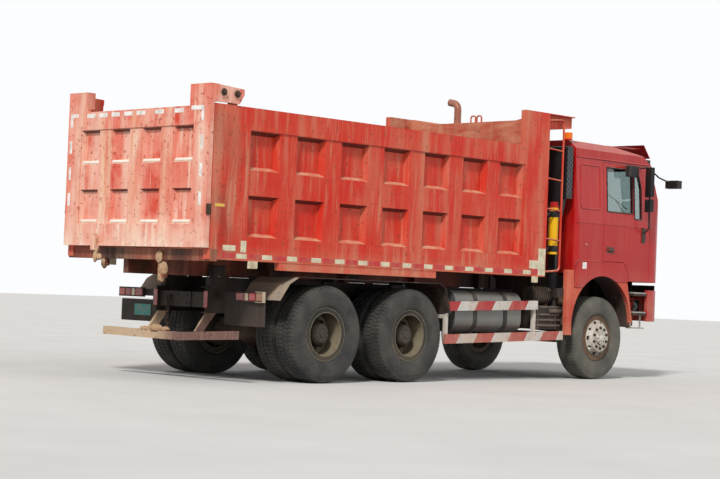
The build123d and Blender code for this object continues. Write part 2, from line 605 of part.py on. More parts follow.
# Mudguards: a folded sheet over each side of the tandem, an arch over each front wheel with its
# two outer legs, and the arms that carry them
REAR_GUARD = ((AXLE_2 - 690, 830), (AXLE_2 - 600, 1120), (AXLE_2 - 480, 1185), (AXLE_3 + 480, 1185),
              (AXLE_3 + 620, 1110), (AXLE_3 + 765, 918))
REAR_GUARD_IN = 610.0
REAR_GUARD_OUT = 1240.0
GUARD_SHEET = 8.0
ARCH_SHEET = 12.0
ARCH_IN = 880.0
ARCH_OUT = CAB_HALF - CAB_WALL - ARCH_SHEET
LEG_REAR = ((300, 589), (776, 589), (800, 1440), (650, 1440), (640, 1205), (300, 1205))
LEG_FRONT = ((-300, 772), (-690, 772), (-552, 1302), (-300, 1302))
with BuildPart() as mudguards:
    for side in (-1, 1):
        arch(ARCH_R + ARCH_SHEET, side * ARCH_IN, side * ARCH_OUT, Mode.ADD)
        block(side * ARCH_IN, side * ARCH_OUT, -ARCH_R - 50, ARCH_R + 50, 0, ARCH_CENTRE[1], mode=Mode.SUBTRACT)
        for leg in (LEG_REAR, LEG_FRONT):
            side_plate(leg, side * ARCH_OUT, side * CAB_HALF)
        arch(ARCH_R, side * ARCH_IN, side * CAB_HALF, Mode.SUBTRACT)
        block(side * ON_RAIL, side * ARCH_IN, 690, 740, 900, 960)
        block(side * ARCH_IN, side * ARCH_OUT, 673, 740, 720, 960)
        folded_sheet(REAR_GUARD, GUARD_SHEET, side * REAR_GUARD_IN, side * REAR_GUARD_OUT)
        for station in (AXLE_2 - 470, TANDEM_MIDDLE, AXLE_3 + 470):
            block(side * ON_RAIL, side * (REAR_GUARD_IN + 20), station - 25, station + 25, 1145, 1177)
            block(side * ON_RAIL, side * (RAIL_OUT + 40), station - 25, station + 25, 960, 1145)
save(mudguards.part, "mudguards")

# Bumper: a shell with rounded corners and its two brackets
BUMPER_LOW = 790.0
BUMPER_TOP = 1219.0
BUMPER_T = 45.0
BUMPER_CORNER = 380.0
BUMPER_REAR = -1030.0
BUMPER_HALF_LONG = 500.0
LAMP_POCKET = (480.0, 800.0, 900.0, 1080.0)
PLATE_POCKET = (-260.0, 260.0, 860.0, 975.0)
with BuildPart() as bumper:
    with BuildSketch(Plane.XY.offset(BUMPER_LOW)):
        for shrink, mode in ((0, Mode.ADD), (BUMPER_T, Mode.SUBTRACT)):
            with Locations((0, sta(-FRONT_OVERHANG) + shrink + BUMPER_HALF_LONG)):
                RectangleRounded(2 * (CAB_HALF - shrink), 2 * BUMPER_HALF_LONG, BUMPER_CORNER - shrink, mode=mode)
        with Locations((0, sta(BUMPER_REAR) + BUMPER_HALF_LONG)):
            Rectangle(3 * CAB_HALF, 2 * BUMPER_HALF_LONG, mode=Mode.SUBTRACT)
    extrude(amount=BUMPER_TOP - BUMPER_LOW)
    both_sides(RAIL_OUT - RAIL_FLANGE, RAIL_OUT, -FRONT_OVERHANG + BUMPER_T, RAIL_FRONT - SEAT, 850, 1000)
    both_sides(*LAMP_POCKET[:2], -FRONT_OVERHANG - 1, -FRONT_OVERHANG + BUMPER_T, *LAMP_POCKET[2:],
               mode=Mode.SUBTRACT)
    block(*PLATE_POCKET[:2], -FRONT_OVERHANG - 1, -FRONT_OVERHANG + 6, *PLATE_POCKET[2:], mode=Mode.SUBTRACT)
save(bumper.part, "bumper")

# Headlamps in the bumper's pockets: a housing with two round lenses each
with BuildPart() as headlamps:
    inner, outer, low, high = LAMP_POCKET
    both_sides(inner + SEAT, outer - SEAT, -FRONT_OVERHANG + 12, -FRONT_OVERHANG + BUMPER_T - 2, low + SEAT,
               high - SEAT)
    for side in (-1, 1):
        for share in (0.27, 0.73):
            x = side * (inner + share * (outer - inner))
            rod((x, -FRONT_OVERHANG + 4, (low + high) / 2), (x, -FRONT_OVERHANG + 14, (low + high) / 2), 68)
save(headlamps.part, "headlamps")

# Steps behind the bumper's ends: two treads and a back plate on an arm, on each side
STEP_IN = 1000.0
STEP_FRONT = -1015.0
STEP_REAR = -700.0
STEP_T = 28.0
STEP_HEIGHTS = (901.0, 1165.0)
with BuildPart() as steps:
    for height in STEP_HEIGHTS:
        both_sides(STEP_IN, CAB_HALF, STEP_FRONT, STEP_REAR, height - STEP_T, height)
    both_sides(STEP_IN - 15, STEP_IN, STEP_FRONT, STEP_REAR, 800, 1180)
    both_sides(ON_RAIL, STEP_IN - 15, -900, -840, 950, 1010)
save(steps.part, "steps")


def cab_side(inset, low):
    """Outline of the cab seen from the side, set in by a wall."""
    front = CAB_FRONT + inset
    return [(CAB_REAR - inset, low), (CAB_REAR - inset, CAB_SEAM + 94 - inset * 0.4),
            (ROOF_REAR[0] - inset, ROOF_REAR[1] - inset), (ROOF_KINK[0], ROOF_KINK[1] - inset),
            (ROOF_FRONT[0] + inset * 0.4, ROOF_FRONT[1] - inset), (ROOF_EDGE[0] + inset, ROOF_EDGE[1]),
            (front + 40, WAIST_Z + 60), (front, KINK_Z), (front + FRONT_LEAN, low)]


def cab_front(inset, low):
    """Outline of the cab seen from the front, set in by a wall."""
    half = [(CAB_HALF - inset, low), (CAB_HALF - inset, WAIST_Z), (CAB_ROOF_HALF - inset, CAB_SEAM),
            (CAB_ROOF_HALF - inset, CAB_SEAM + 104 - inset * 0.4), (1010 - inset, CAB_SEAM + 219 - inset)]
    return half + [(-x, z) for x, z in reversed(half)]


def cab_envelope(inset, low):
    """The cab's outer form, set in by a wall: where its side, front and plan outlines meet."""
    length = CAB_REAR - CAB_FRONT - 2 * inset
    with BuildPart(mode=Mode.PRIVATE) as envelope:
        side_plate(cab_side(inset, low), -CAB_HALF, CAB_HALF)
        cross_plate(cab_front(inset, low), CAB_FRONT - 100, CAB_REAR + 100, mode=Mode.INTERSECT)
        with BuildSketch(Plane.XY.offset(low)) as plan:
            with Locations((0, sta(CAB_REAR - inset) - length / 2)):
                Rectangle(2 * (CAB_HALF - inset), length)
            fillet(plan.vertices().group_by(Axis.Y)[0], radius=CAB_CORNER - inset)
            fillet(plan.vertices().group_by(Axis.Y)[-1], radius=CAB_REAR_CORNER - inset)
        extrude(plan.sketch, amount=2500, mode=Mode.INTERSECT)
    return envelope.part


def window_face(outline, inset):
    """A side outline set in by an amount, as a face beyond the cab's right side."""
    face = side_face(outline)
    if inset:
        face = offset(face, amount=-inset, kind=Kind.INTERSECTION)
    return Plane.YZ.offset(-FAR) * face


# What the cab's panels are cut from: walls, a floor slab and a skin of glass inside the walls
FAR = CAB_HALF + 100
FLOOR_SLAB = 45.0
inner_form = cab_envelope(CAB_WALL, SKIRT_LOW - 10)
cab_walls = cab_envelope(0, SKIRT_LOW) - inner_form
glass_skin = cab_envelope(GLASS_INSET, CAB_FLOOR) - cab_envelope(GLASS_INSET + GLASS_T, CAB_FLOOR)
floor_slab = inner_form & (Pos(0, AXLE_1_Y, CAB_FLOOR + FLOOR_SLAB / 2) * Box(2 * FAR, 4000, FLOOR_SLAB))

DOOR_REAR = 28.0
DOOR_FRONT = -1040.0
DOOR_TOP = CAB_SEAM - 41
DOOR_LOW = 1327.0
FENDER_TOP = 1575.0
DOOR_OUTLINE = ((DOOR_REAR, FENDER_TOP), (DOOR_REAR, DOOR_TOP), (-830, DOOR_TOP), (DOOR_FRONT, 2110),
                (DOOR_FRONT, 1200), (-565, 1200), (-550, 1450), (-440, FENDER_TOP))
WINDOW_TOP = DOOR_TOP - 60
DOOR_WINDOW = ((-55, 2250), (-55, WINDOW_TOP), (-640, WINDOW_TOP), (-640, 2250))
QUARTER_WINDOW = ((-680, 2180), (-680, WINDOW_TOP), (-770, WINDOW_TOP), (-845, 2600), (-845, 2180))
SCREEN_HALF = 1060.0
SCREEN_LOW = 2150.0
SCREEN_TOP = CAB_SEAM - 76

# Door hinges: barrels on the doors' front edges, in hollows of the shell
HINGE_X = CAB_HALF - 2
HINGE_DOOR = DOOR_FRONT + DOOR_GAP
BARREL_HEIGHTS = ((1480.0, 1560.0), (1960.0, 2040.0))
DOOR_BARREL_R = 10.0

# Cab shell: walls, floor and lower skirts with the wheel arches, open at doors and windscreen, and
# the ears that hang on the tilt pin
TILT_EAR = ((-40, -40), (70, -40), (110, 305), (45, 305), (10, 60), (-40, 20))
EAR_X = RAIL_OUT + RUN_GAP
EAR_T = 28.0
with BuildPart() as cab_shell:
    add(cab_walls)
    block(-FAR, FAR, CAB_FRONT, CAB_REAR, CAB_SEAM, CAB_SEAM + 500, mode=Mode.SUBTRACT)
    block(-FAR, FAR, CAB_FRONT - 100, -552, SKIRT_LOW - 10, DOOR_LOW - 2, mode=Mode.SUBTRACT)
    block(-FAR, FAR, -552, -200, SKIRT_LOW - 10, DOOR_LOW - 19, mode=Mode.SUBTRACT)
    block(-CAB_HALF + CAB_WALL, CAB_HALF - CAB_WALL, 0, CAB_REAR, SKIRT_LOW - 10, CAB_FLOOR, mode=Mode.SUBTRACT)
    arch(ARCH_R, -FAR, FAR, Mode.SUBTRACT)
    extrude(window_face(DOOR_OUTLINE, 0), amount=2 * FAR, mode=Mode.SUBTRACT)
    cross_plate([(-SCREEN_HALF, SCREEN_LOW), (-SCREEN_HALF, SCREEN_TOP), (SCREEN_HALF, SCREEN_TOP),
                 (SCREEN_HALF, SCREEN_LOW)], CAB_FRONT - 100, -900, mode=Mode.SUBTRACT)
    add(floor_slab)
    both_sides(CAB_HALF - CAB_WALL - RUN_GAP, CAB_HALF - CAB_WALL, DOOR_FRONT, -565, CAB_FLOOR,
               CAB_FLOOR + FLOOR_SLAB, mode=Mode.SUBTRACT)
    for side in (-1, 1):
        side_plate([(TILT_STATION + y, TILT_Z + z) for y, z in TILT_EAR], side * EAR_X, side * (EAR_X + EAR_T))
    rod((-FAR, TILT_STATION, TILT_Z), (FAR, TILT_STATION, TILT_Z), TILT_PIN_R + PIN_GAP, mode=Mode.SUBTRACT)
    for side in (-1, 1):
        for low, high in BARREL_HEIGHTS:
            rod((side * HINGE_X, HINGE_DOOR, low - 4), (side * HINGE_X, HINGE_DOOR, high + 4),
                DOOR_BARREL_R + 2 * PIN_GAP, mode=Mode.SUBTRACT)
save(cab_shell.part, "cab_shell")

# Roof panel above the gutter, with the beacon's base
BEACON = (-790.0, 310.0)
BEACON_R = 55.0
BEACON_TOP = ROOF_KINK[1] + 140
with BuildPart() as cab_roof:
    add(cab_walls)
    block(-FAR, FAR, CAB_FRONT - 100, CAB_REAR + 100, SKIRT_LOW - 10, CAB_SEAM + SEAT, mode=Mode.SUBTRACT)
    rod((*BEACON, ROOF_KINK[1] - 10), (*BEACON, BEACON_TOP), BEACON_R)
save(cab_roof.part, "cab_roof")

# Windscreen
with BuildPart() as windscreen:
    add(glass_skin)
    half = SCREEN_HALF - SEAT
    cross_plate([(-half, SCREEN_LOW + SEAT), (-half, SCREEN_TOP - SEAT), (half, SCREEN_TOP - SEAT),
                 (half, SCREEN_LOW + SEAT)], CAB_FRONT - 100, -900, mode=Mode.INTERSECT)
save(windscreen.part, "windscreen")

# Doors with their glass and mirrors
MIRROR_TURN = radians(30)
MIRROR_WIDE = 170.0
MIRROR_DEEP = 55.0
MIRROR_X = MIRROR_REACH - (MIRROR_WIDE * cos(MIRROR_TURN) + MIRROR_DEEP * sin(MIRROR_TURN)) / 2
MIRROR_STATION = -796.0
MIRROR_HEADS = ((2690.0, 400.0), (2370.0, 170.0))
ARM_X = 1330.0
ARM_R = 12.0
ARM_TOP_Z = DOOR_TOP - 15
for name, side in SIDES:
    with BuildPart() as door:
        add(cab_walls)
        extrude(window_face(DOOR_OUTLINE, DOOR_GAP), amount=2 * FAR, mode=Mode.INTERSECT)
        for window in (DOOR_WINDOW, QUARTER_WINDOW):
            extrude(window_face(window, 0), amount=2 * FAR, mode=Mode.SUBTRACT)
        block(-side * FAR, 0, CAB_FRONT, CAB_REAR, SKIRT_LOW, CAB_SEAM, mode=Mode.SUBTRACT)
        block(-FAR, FAR, CAB_FRONT, CAB_REAR, SKIRT_LOW - 20, DOOR_LOW, mode=Mode.SUBTRACT)
        block(side * CAB_HALF, side * (CAB_HALF + 25), -200, -60, 1725, 1750)
        for low, high in BARREL_HEIGHTS:
            rod((side * HINGE_X, HINGE_DOOR, low), (side * HINGE_X, HINGE_DOOR, high), DOOR_BARREL_R)
    save(door.part, f"door_{name}")
    with BuildPart() as glass:
        add(glass_skin)
        panes = [window_face(window, SEAT) for window in (DOOR_WINDOW, QUARTER_WINDOW)]
        extrude(panes[0] + panes[1], amount=2 * FAR, mode=Mode.INTERSECT)
        block(-side * FAR, 0, CAB_FRONT, CAB_REAR, SKIRT_LOW, CAB_SEAM, mode=Mode.SUBTRACT)
    save(glass.part, f"door_glass_{name}")
    with BuildPart() as mirrors:
        for height, tall in MIRROR_HEADS:
            head = Plane(origin=place((side * MIRROR_X, MIRROR_STATION, height)),
                         x_dir=(cos(MIRROR_TURN), side * sin(MIRROR_TURN), 0), z_dir=(0, 0, 1))
            with Locations(head):
                Box(MIRROR_WIDE, MIRROR_DEEP, tall)
            rod((side * ARM_X, -854, height), (side * MIRROR_X, MIRROR_STATION, height), ARM_R)
        bent_rod([(side * (CAB_HALF + 9), -880, 1990), (side * ARM_X, -856, 2060), (side * ARM_X, -852, ARM_TOP_Z + 10),
                  (side * (CAB_ROOF_HALF + 14), -812, ARM_TOP_Z)], 30, ARM_R)
        block(side * (CAB_HALF + SEAT), side * (CAB_HALF + 14), -915, -845, 1865, 2070)
        block(side * 1173.5, side * 1235, -545, -505, DOOR_TOP - 41, DOOR_TOP - 21)
        block(side * 1228, side * 1290, -640, -410, DOOR_TOP - 160, DOOR_TOP - 10)
    save(mirrors.part, f"mirrors_{name}")


def front_face(z, out):
    """Station of the cab's front face at a height below its kink, moved out by an amount."""
    return CAB_FRONT + FRONT_LEAN * (KINK_Z - z) / (KINK_Z - SKIRT_LOW) - out


def roof_station(z):
    """Station of the roof's steep front at a height."""
    share = (z - ROOF_EDGE[1]) / (ROOF_FRONT[1] - ROOF_EDGE[1])
    return ROOF_EDGE[0] + share * (ROOF_FRONT[0] - ROOF_EDGE[0])


def roof_height(station):
    """Height of the roof's sloping part at a station."""
    share = (station - ROOF_FRONT[0]) / (ROOF_KINK[0] - ROOF_FRONT[0])
    return ROOF_FRONT[1] + share * (ROOF_KINK[1] - ROOF_FRONT[1])


# Grille panel on the cab's face
GRILLE_HALF = 900.0
GRILLE_LOW = 1340.0
GRILLE_TOP = 1830.0
GRILLE_T = 30.0
SLOT_COUNT = 6
SLOT_PITCH = 73.0
SLOT_TALL = 48.0
with BuildPart() as grille:
    side_plate([(front_face(GRILLE_LOW, SEAT), GRILLE_LOW), (front_face(GRILLE_TOP, SEAT), GRILLE_TOP),
                (front_face(GRILLE_TOP, GRILLE_T), GRILLE_TOP), (front_face(GRILLE_LOW, GRILLE_T), GRILLE_LOW)],
               -GRILLE_HALF, GRILLE_HALF)
    for k in range(SLOT_COUNT):
        low = GRILLE_LOW + 30 + k * SLOT_PITCH
        block(-GRILLE_HALF + 30, GRILLE_HALF - 30, CAB_FRONT - 60, CAB_FRONT - 4, low, low + SLOT_TALL,
              mode=Mode.SUBTRACT)
save(grille.part, "grille")

# Sun visor on two arms that stand on the roof
VISOR_HALF = 1000.0
VISOR_ARM_X = 900.0
VISOR_Z = ROOF_KINK[1] + 22
VISOR_FOOT = (-470.0, -410.0)
with BuildPart() as sun_visor:
    side_plate([(-1150, VISOR_Z + 63), (-1138, VISOR_Z + 68), (-1288, VISOR_Z - 110), (-1302, VISOR_Z - 110)],
               -VISOR_HALF, VISOR_HALF)
    for side in (-1, 1):
        rod((side * VISOR_ARM_X, -1185, VISOR_Z + 17), (side * VISOR_ARM_X, VISOR_FOOT[0] + 10, VISOR_Z - 7), 9)
        side_plate([(VISOR_FOOT[0], roof_height(VISOR_FOOT[0]) + SEAT),
                    (VISOR_FOOT[1], roof_height(VISOR_FOOT[1]) + SEAT), (VISOR_FOOT[1], VISOR_Z),
                    (VISOR_FOOT[0], VISOR_Z)],
                   side * (VISOR_ARM_X - 15), side * (VISOR_ARM_X + 15))
save(sun_visor.part, "sun_visor")

# Front mirror on its bent arm at the roof's right front corner
FRONT_MIRROR = (-1345.0, -1390.0, CAB_SEAM - 246)
with BuildPart() as front_mirror:
    with Locations(place(FRONT_MIRROR)):
        Box(200, 110, 110)
    bent_rod([(-1120, -1090, CAB_SEAM + 44), (-1177, -1150, CAB_SEAM - 96), (-1200, -1240, CAB_SEAM - 156),
              FRONT_MIRROR], 40, 11)
    foot = (CAB_SEAM + 14, CAB_SEAM + 74)
    side_plate([(roof_station(foot[0]) - SEAT, foot[0]), (roof_station(foot[1]) - SEAT, foot[1]), (-1095, foot[1]),
                (-1095, foot[0])], -1150, -1090)
save(front_mirror.part, "front_mirror")

# Inside the cab: two seats on the floor, and the dashboard with the steering column
SEAT_X = 560.0
SEAT_LOW = CAB_FLOOR + FLOOR_SLAB + SEAT
WHEEL_CENTRE = Vector(*place((SEAT_X, -870, 2050)))
COLUMN = Vector(0, 130, 150).normalized()
with BuildPart() as seats:
    for x in (-SEAT_X, SEAT_X):
        block(x - 260, x + 260, -450, 60, SEAT_LOW, 1880)
        side_plate([(-40, 1870), (60, 1870), (170, 2550), (90, 2560)], x - 250, x + 250)
save(seats.part, "seats")
with BuildPart() as dashboard:
    side_plate([(front_face(1500, -CAB_WALL - 1), 1500), (-1060, 1500), (-960, 1900), (-960, 2060),
                (CAB_FRONT + CAB_WALL + 36, 2100), (front_face(KINK_Z, -CAB_WALL - 1), KINK_Z)], -940, 940)
    with Locations(Plane(origin=WHEEL_CENTRE, z_dir=-COLUMN)):
        Cylinder(35, 260, align=(Align.CENTER, Align.CENTER, Align.MIN))
save(dashboard.part, "dashboard")

# Steering wheel at the column's end
WHEEL_R = 225.0
with BuildPart() as steering_wheel:
    with Locations(Plane(origin=WHEEL_CENTRE + COLUMN * SEAT, x_dir=(1, 0, 0), z_dir=COLUMN)):
        Cylinder(40, 45, align=(Align.CENTER, Align.CENTER, Align.MIN))
    with Locations(Plane(origin=WHEEL_CENTRE + COLUMN * 38, x_dir=(1, 0, 0), z_dir=COLUMN)):
        Torus(WHEEL_R, 16)
        Box(2 * WHEEL_R, 40, 14)
save(steering_wheel.part, "steering_wheel")

# Dump body floor: plate, longitudinals, bearers with their rest pads, rear sill and lock hooks
LONG_IN = 256.0
LONG_OUT = 340.0
BEARER_FIRST = 1600.0
BEARER_PITCH = 620.0
BEARER_HALF = 35.0
SILL_LOW = 1311.0
SILL_TOP = FLOOR_TOP - 3
SILL_LONG = 94.0
SILL_FRONT = BODY_REAR - 16 - SILL_LONG
BEARER_COUNT = int((SILL_FRONT - BEARER_HALF - BEARER_FIRST) // BEARER_PITCH) + 1
HOOKS = ((600.0, 1230.0), (-420.0, 1120.0))
HOOK_HALF = 38.0
with BuildPart() as dump_floor:
    floor_front = BODY_FRONT + HEAD_T + SEAT
    under_floor = FLOOR_TOP - FLOOR_T
    block(-FLOOR_HALF, FLOOR_HALF, floor_front, SILL_FRONT, under_floor, FLOOR_TOP)
    both_sides(LONG_IN, LONG_OUT, floor_front, SILL_FRONT, SUB_TOP + RUN_GAP, under_floor)
    for k in range(BEARER_COUNT):
        station = BEARER_FIRST + k * BEARER_PITCH
        block(-FLOOR_HALF, FLOOR_HALF, station - BEARER_HALF, station + BEARER_HALF, BODY_LOW + 10, under_floor)
        if k % 2 == 0 and station < TIP_STATION - BEARER_PITCH:
            both_sides(RAIL_OUT - SUB_WIDE, RAIL_OUT, station - BEARER_HALF, station + BEARER_HALF, SUB_TOP + SEAT,
                       BODY_LOW + 10)
    block(-BODY_HALF, BODY_HALF, SILL_FRONT, SILL_FRONT + SILL_LONG, SILL_LOW, SILL_TOP)
    for x, low in HOOKS:
        block(x - HOOK_HALF, x + HOOK_HALF, SILL_FRONT + 24, SILL_FRONT + 84, low, SILL_LOW)
    rod((-500, TIP_STATION, TIP_Z), (500, TIP_STATION, TIP_Z), TIP_PIN_R + PIN_GAP, mode=Mode.SUBTRACT)
save(dump_floor.part, "dump_floor")

# Dump body sides: one thick wall each with its front post and two rows of tapered pockets in a
# field sunk behind the rails, the tailgate's hinge on top, and the ladder before the right post
POCKET_LONG = 462.0
POCKET_COUNT = 7
POCKET_REAR = BODY_REAR - 524
POCKET_PITCH = (POCKET_REAR - POCKET_LONG - POST_REAR - 26) / (POCKET_COUNT - 1)
POCKET_ROWS = ((2306.0, 2741.0), (1585.0, 2044.0))
STRIP_FRONT = AXLE_2 - 413
STRIP_REAR = AXLE_3 + 783
EAR_IN = WALL_IN + 15
LADDER_X = -1212.0
LADDER_STATION = 960.0
LADDER_R = 14.0
RUNG_R = 11.0
RUNGS = (2968.0, 2583.0, 2191.0, 1806.0)
for name, side in SIDES:
    with BuildPart() as wall:
        block(side * WALL_IN, side * BODY_HALF, BODY_FRONT, BODY_REAR, BODY_LOW, SIDE_TOP)
        block(side * WALL_IN, side * BODY_HALF, BODY_FRONT, POST_REAR, SIDE_TOP, POST_TOP)
        block(side * EAR_IN, side * (BODY_HALF - 6), STRIP_FRONT, STRIP_REAR, BODY_LOW - 85, BODY_LOW)
        for k in range(POCKET_COUNT):
            for low, high in POCKET_ROWS:
                middle = (side * BODY_HALF, POCKET_REAR - k * POCKET_PITCH - POCKET_LONG / 2, (low + high) / 2)
                with BuildSketch(Plane(origin=place(middle), x_dir=(0, 1, 0), z_dir=(-side, 0, 0))):
                    Rectangle(POCKET_LONG, high - low)
                extrude(amount=SIDE_DEPTH - SIDE_PLATE, taper=POCKET_TAPER, mode=Mode.SUBTRACT)
        block(side * (BODY_HALF - FIELD_SINK), side * BODY_HALF, POST_REAR, POCKET_REAR, POCKET_ROWS[1][0],
              POCKET_ROWS[0][1], mode=Mode.SUBTRACT)
        block(side * WALL_IN, side * BODY_HALF, SILL_FRONT - SEAT, SILL_FRONT + SILL_LONG + SEAT, BODY_LOW - 10,
              SILL_TOP + SEAT, mode=Mode.SUBTRACT)
        block(side * EAR_IN, side * (EAR_IN + 30), HINGE_STATION - 60, HINGE_STATION + 60, SIDE_TOP, HINGE_Z + 50)
        rod((side * EAR_IN, HINGE_STATION, HINGE_Z), (side * (BODY_HALF + 16), HINGE_STATION, HINGE_Z), HINGE_R)
        if name == "right":
            bent_rod([(LADDER_X, BODY_FRONT + 5, 3345), (LADDER_X, LADDER_STATION, 3375),
                      (LADDER_X, LADDER_STATION, 1420), (LADDER_X, BODY_FRONT + 5, 1395)], 60, LADDER_R)
            for height in RUNGS:
                rod((LADDER_X, LADDER_STATION, height), (LADDER_X, BODY_FRONT + 5, height + 20), RUNG_R)
    save(wall.part, f"dump_side_{name}")

# Headboard between the posts, its rim bent down in the middle, with its lifting eyes, the guard over
# the cab and the cheeks of the hoist's trunnion
GUARD_FRONT = 746.0
GUARD_PLATE = 12.0
GUARD_HALF = 1172.0
LIP_LOW = 3287.0
UNDER_GUARD = POST_TOP - GUARD_PLATE
BARREL_R = 85.0
CHEEK_IN = BARREL_R + 11
CHEEK_T = 24.0
SAG = 75.0
SAG_FROM = 1100.0
SAG_TO = 700.0
RIM_LOW = POST_TOP - SAG
EYE_STATION = 1300.0
EYE_TOP = RIM_LOW + 88


def rim_line(half, drop):
    """The headboard's rim from right to left, bent down in the middle and lowered by a drop."""
    line = ((-half, POST_TOP), (-SAG_FROM, POST_TOP), (-SAG_TO, RIM_LOW))
    line += tuple((-x, z) for x, z in reversed(line))
    return [(x, z - drop) for x, z in line]


with BuildPart() as headboard:
    rim_plates = ((BODY_HALF, GUARD_FRONT, BODY_FRONT - SEAT), (FLOOR_HALF, BODY_FRONT - SEAT, BODY_FRONT))
    for half, front, rear in rim_plates:
        cross_plate(rim_line(half, 0) + rim_line(half, GUARD_PLATE)[::-1], front, rear)
    cross_plate(rim_line(FLOOR_HALF, 0) + [(FLOOR_HALF, BODY_LOW), (-FLOOR_HALF, BODY_LOW)], BODY_FRONT,
                BODY_FRONT + HEAD_T)
    cross_plate(rim_line(GUARD_HALF, 0) + [(GUARD_HALF, LIP_LOW), (-GUARD_HALF, LIP_LOW)], GUARD_FRONT,
                GUARD_FRONT + GUARD_PLATE)
    for side in (-1, 1):
        side_plate([(GUARD_FRONT, UNDER_GUARD), (GUARD_FRONT, LIP_LOW), (BODY_FRONT - SEAT, LIP_LOW - 54),
                    (BODY_FRONT - SEAT, UNDER_GUARD)], side * (GUARD_HALF - GUARD_PLATE), side * GUARD_HALF)
    for side in (-1, 1):
        bent_rod([(side * 12, EYE_STATION, RIM_LOW - 6), (side * 12, EYE_STATION, EYE_TOP),
                  (side * 92, EYE_STATION, EYE_TOP), (side * 92, EYE_STATION, RIM_LOW - 6)], 30, 11)
    both_sides(CHEEK_IN, CHEEK_IN + CHEEK_T, HOIST_STATION - 40, BODY_FRONT, TRUNNION_Z - 60, TRUNNION_Z + 60)
    rod((-200, HOIST_STATION, TRUNNION_Z), (200, HOIST_STATION, TRUNNION_Z), TRUNNION_R + PIN_GAP,
        mode=Mode.SUBTRACT)
save(headboard.part, "headboard")

# Canister with its cap, held before the headboard's right end
CANISTER = (-1125.0, 1000.0)
CANISTER_R = 65.0
with BuildPart() as canister:
    rod((*CANISTER, 1630), (*CANISTER, 2270), CANISTER_R)
    rod((*CANISTER, 2270), (*CANISTER, 2310), CANISTER_R - 10)
    for height in (1700, 2150):
        block(-1130, -1100, CANISTER[1] + 50, BODY_FRONT - SEAT, height - 20, height + 20)
save(canister.part, "canister")

# Tailgate: a thick panel with two rows of tapered pockets in a field sunk behind the rails, its
# hinge columns and arms, and the left keeper of its lock
GATE_POCKETS = (809.0, 272.0, -265.0, -806.0)
GATE_POCKET_WIDE = 336.0
GATE_ROWS = ((1695.0, 2090.0), (2360.0, 2757.0))
GATE_FRONT = TAILGATE_REAR - TAILGATE_DEPTH
ARM_TOP = 3190.0
GATE_ARM_LOW = 3002.0
GATE_ARM_FRONT = HINGE_STATION - 113
GATE_ARM_T = 22.0
COLUMN_IN = 900.0
ARM_BOSS = (HINGE_STATION + 191, HINGE_Z + 4)
with BuildPart() as tailgate:
    block(-TAILGATE_HALF, TAILGATE_HALF, GATE_FRONT, TAILGATE_REAR, TAILGATE_LOW, TAILGATE_TOP)
    for x in GATE_POCKETS:
        for low, high in GATE_ROWS:
            with BuildSketch(Plane(origin=place((x, TAILGATE_REAR, (low + high) / 2)), x_dir=(1, 0, 0),
                                   z_dir=(0, -1, 0))):
                Rectangle(GATE_POCKET_WIDE, high - low)
            extrude(amount=TAILGATE_DEPTH - SIDE_PLATE, taper=POCKET_TAPER, mode=Mode.SUBTRACT)
    field_half = GATE_POCKETS[0] + GATE_POCKET_WIDE / 2
    block(-field_half, field_half, TAILGATE_REAR - FIELD_SINK, TAILGATE_REAR, GATE_ROWS[0][0], GATE_ROWS[1][1],
          mode=Mode.SUBTRACT)
    both_sides(COLUMN_IN, TAILGATE_HALF, GATE_FRONT, TAILGATE_REAR, TAILGATE_TOP, ARM_TOP)
    both_sides(COLUMN_IN, TAILGATE_HALF, GATE_FRONT - 54, GATE_FRONT, GATE_ARM_LOW, ARM_TOP)
    for side in (-1, 1):
        side_plate([(GATE_FRONT + 6, ARM_TOP), (GATE_ARM_FRONT, ARM_TOP - 25), (GATE_ARM_FRONT, HINGE_Z),
                    (GATE_ARM_FRONT + 64, GATE_ARM_LOW), (GATE_FRONT + 6, GATE_ARM_LOW)],
                   side * (BODY_HALF - GATE_ARM_T), side * BODY_HALF)
    for side in (-1, 1):
        rod((side * (BODY_HALF - GATE_ARM_T), *ARM_BOSS), (side * (BODY_HALF + 14), *ARM_BOSS), 28)
    rod((-BODY_HALF - 50, HINGE_STATION, HINGE_Z), (BODY_HALF + 50, HINGE_STATION, HINGE_Z), HINGE_R + PIN_GAP,
        mode=Mode.SUBTRACT)
    block(570, 640, TAILGATE_REAR, TAILGATE_REAR + KEEPER_REACH, 1400, 1560)
save(tailgate.part, "tailgate")

# Front hoist: the barrel hangs in the headboard's cheeks, and two tubes and the rod slide down
# out of it, one inside the other
HOIST_R = (BARREL_R, 70.0, 55.0, 38.0)
BARREL_LOW = 1360.0
BARREL_TOP = 2760.0
CAP_T = 14.0
PINCH = 8.0
STAGES = ("hoist_barrel", "hoist_stage_1", "hoist_stage_2", "hoist_rod")
for k, label in enumerate(STAGES):
    low = BARREL_LOW - k * PINCH
    top = BARREL_TOP - CAP_T - RUN_GAP
    with BuildPart() as stage:
        if label == "hoist_rod":
            rod((0, HOIST_STATION, HOIST_FOOT_Z), (0, HOIST_STATION, top), HOIST_R[k])
            rod((-EYE_HALF, HOIST_STATION, HOIST_FOOT_Z), (EYE_HALF, HOIST_STATION, HOIST_FOOT_Z), 36)
        else:
            if label == "hoist_barrel":
                top = BARREL_TOP
            bore_top = top - CAP_T if label == "hoist_barrel" else top
            rod((0, HOIST_STATION, low), (0, HOIST_STATION, top), HOIST_R[k])
            if label == "hoist_barrel":
                reach = CHEEK_IN + CHEEK_T + 5
                rod((-reach, HOIST_STATION, TRUNNION_Z), (reach, HOIST_STATION, TRUNNION_Z), TRUNNION_R)
            rod((0, HOIST_STATION, low), (0, HOIST_STATION, bore_top), HOIST_R[k + 1] + PIN_GAP, mode=Mode.SUBTRACT)
    save(stage.part, label)
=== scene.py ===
import math

import bmesh
import bpy
from mathutils import Matrix, Vector


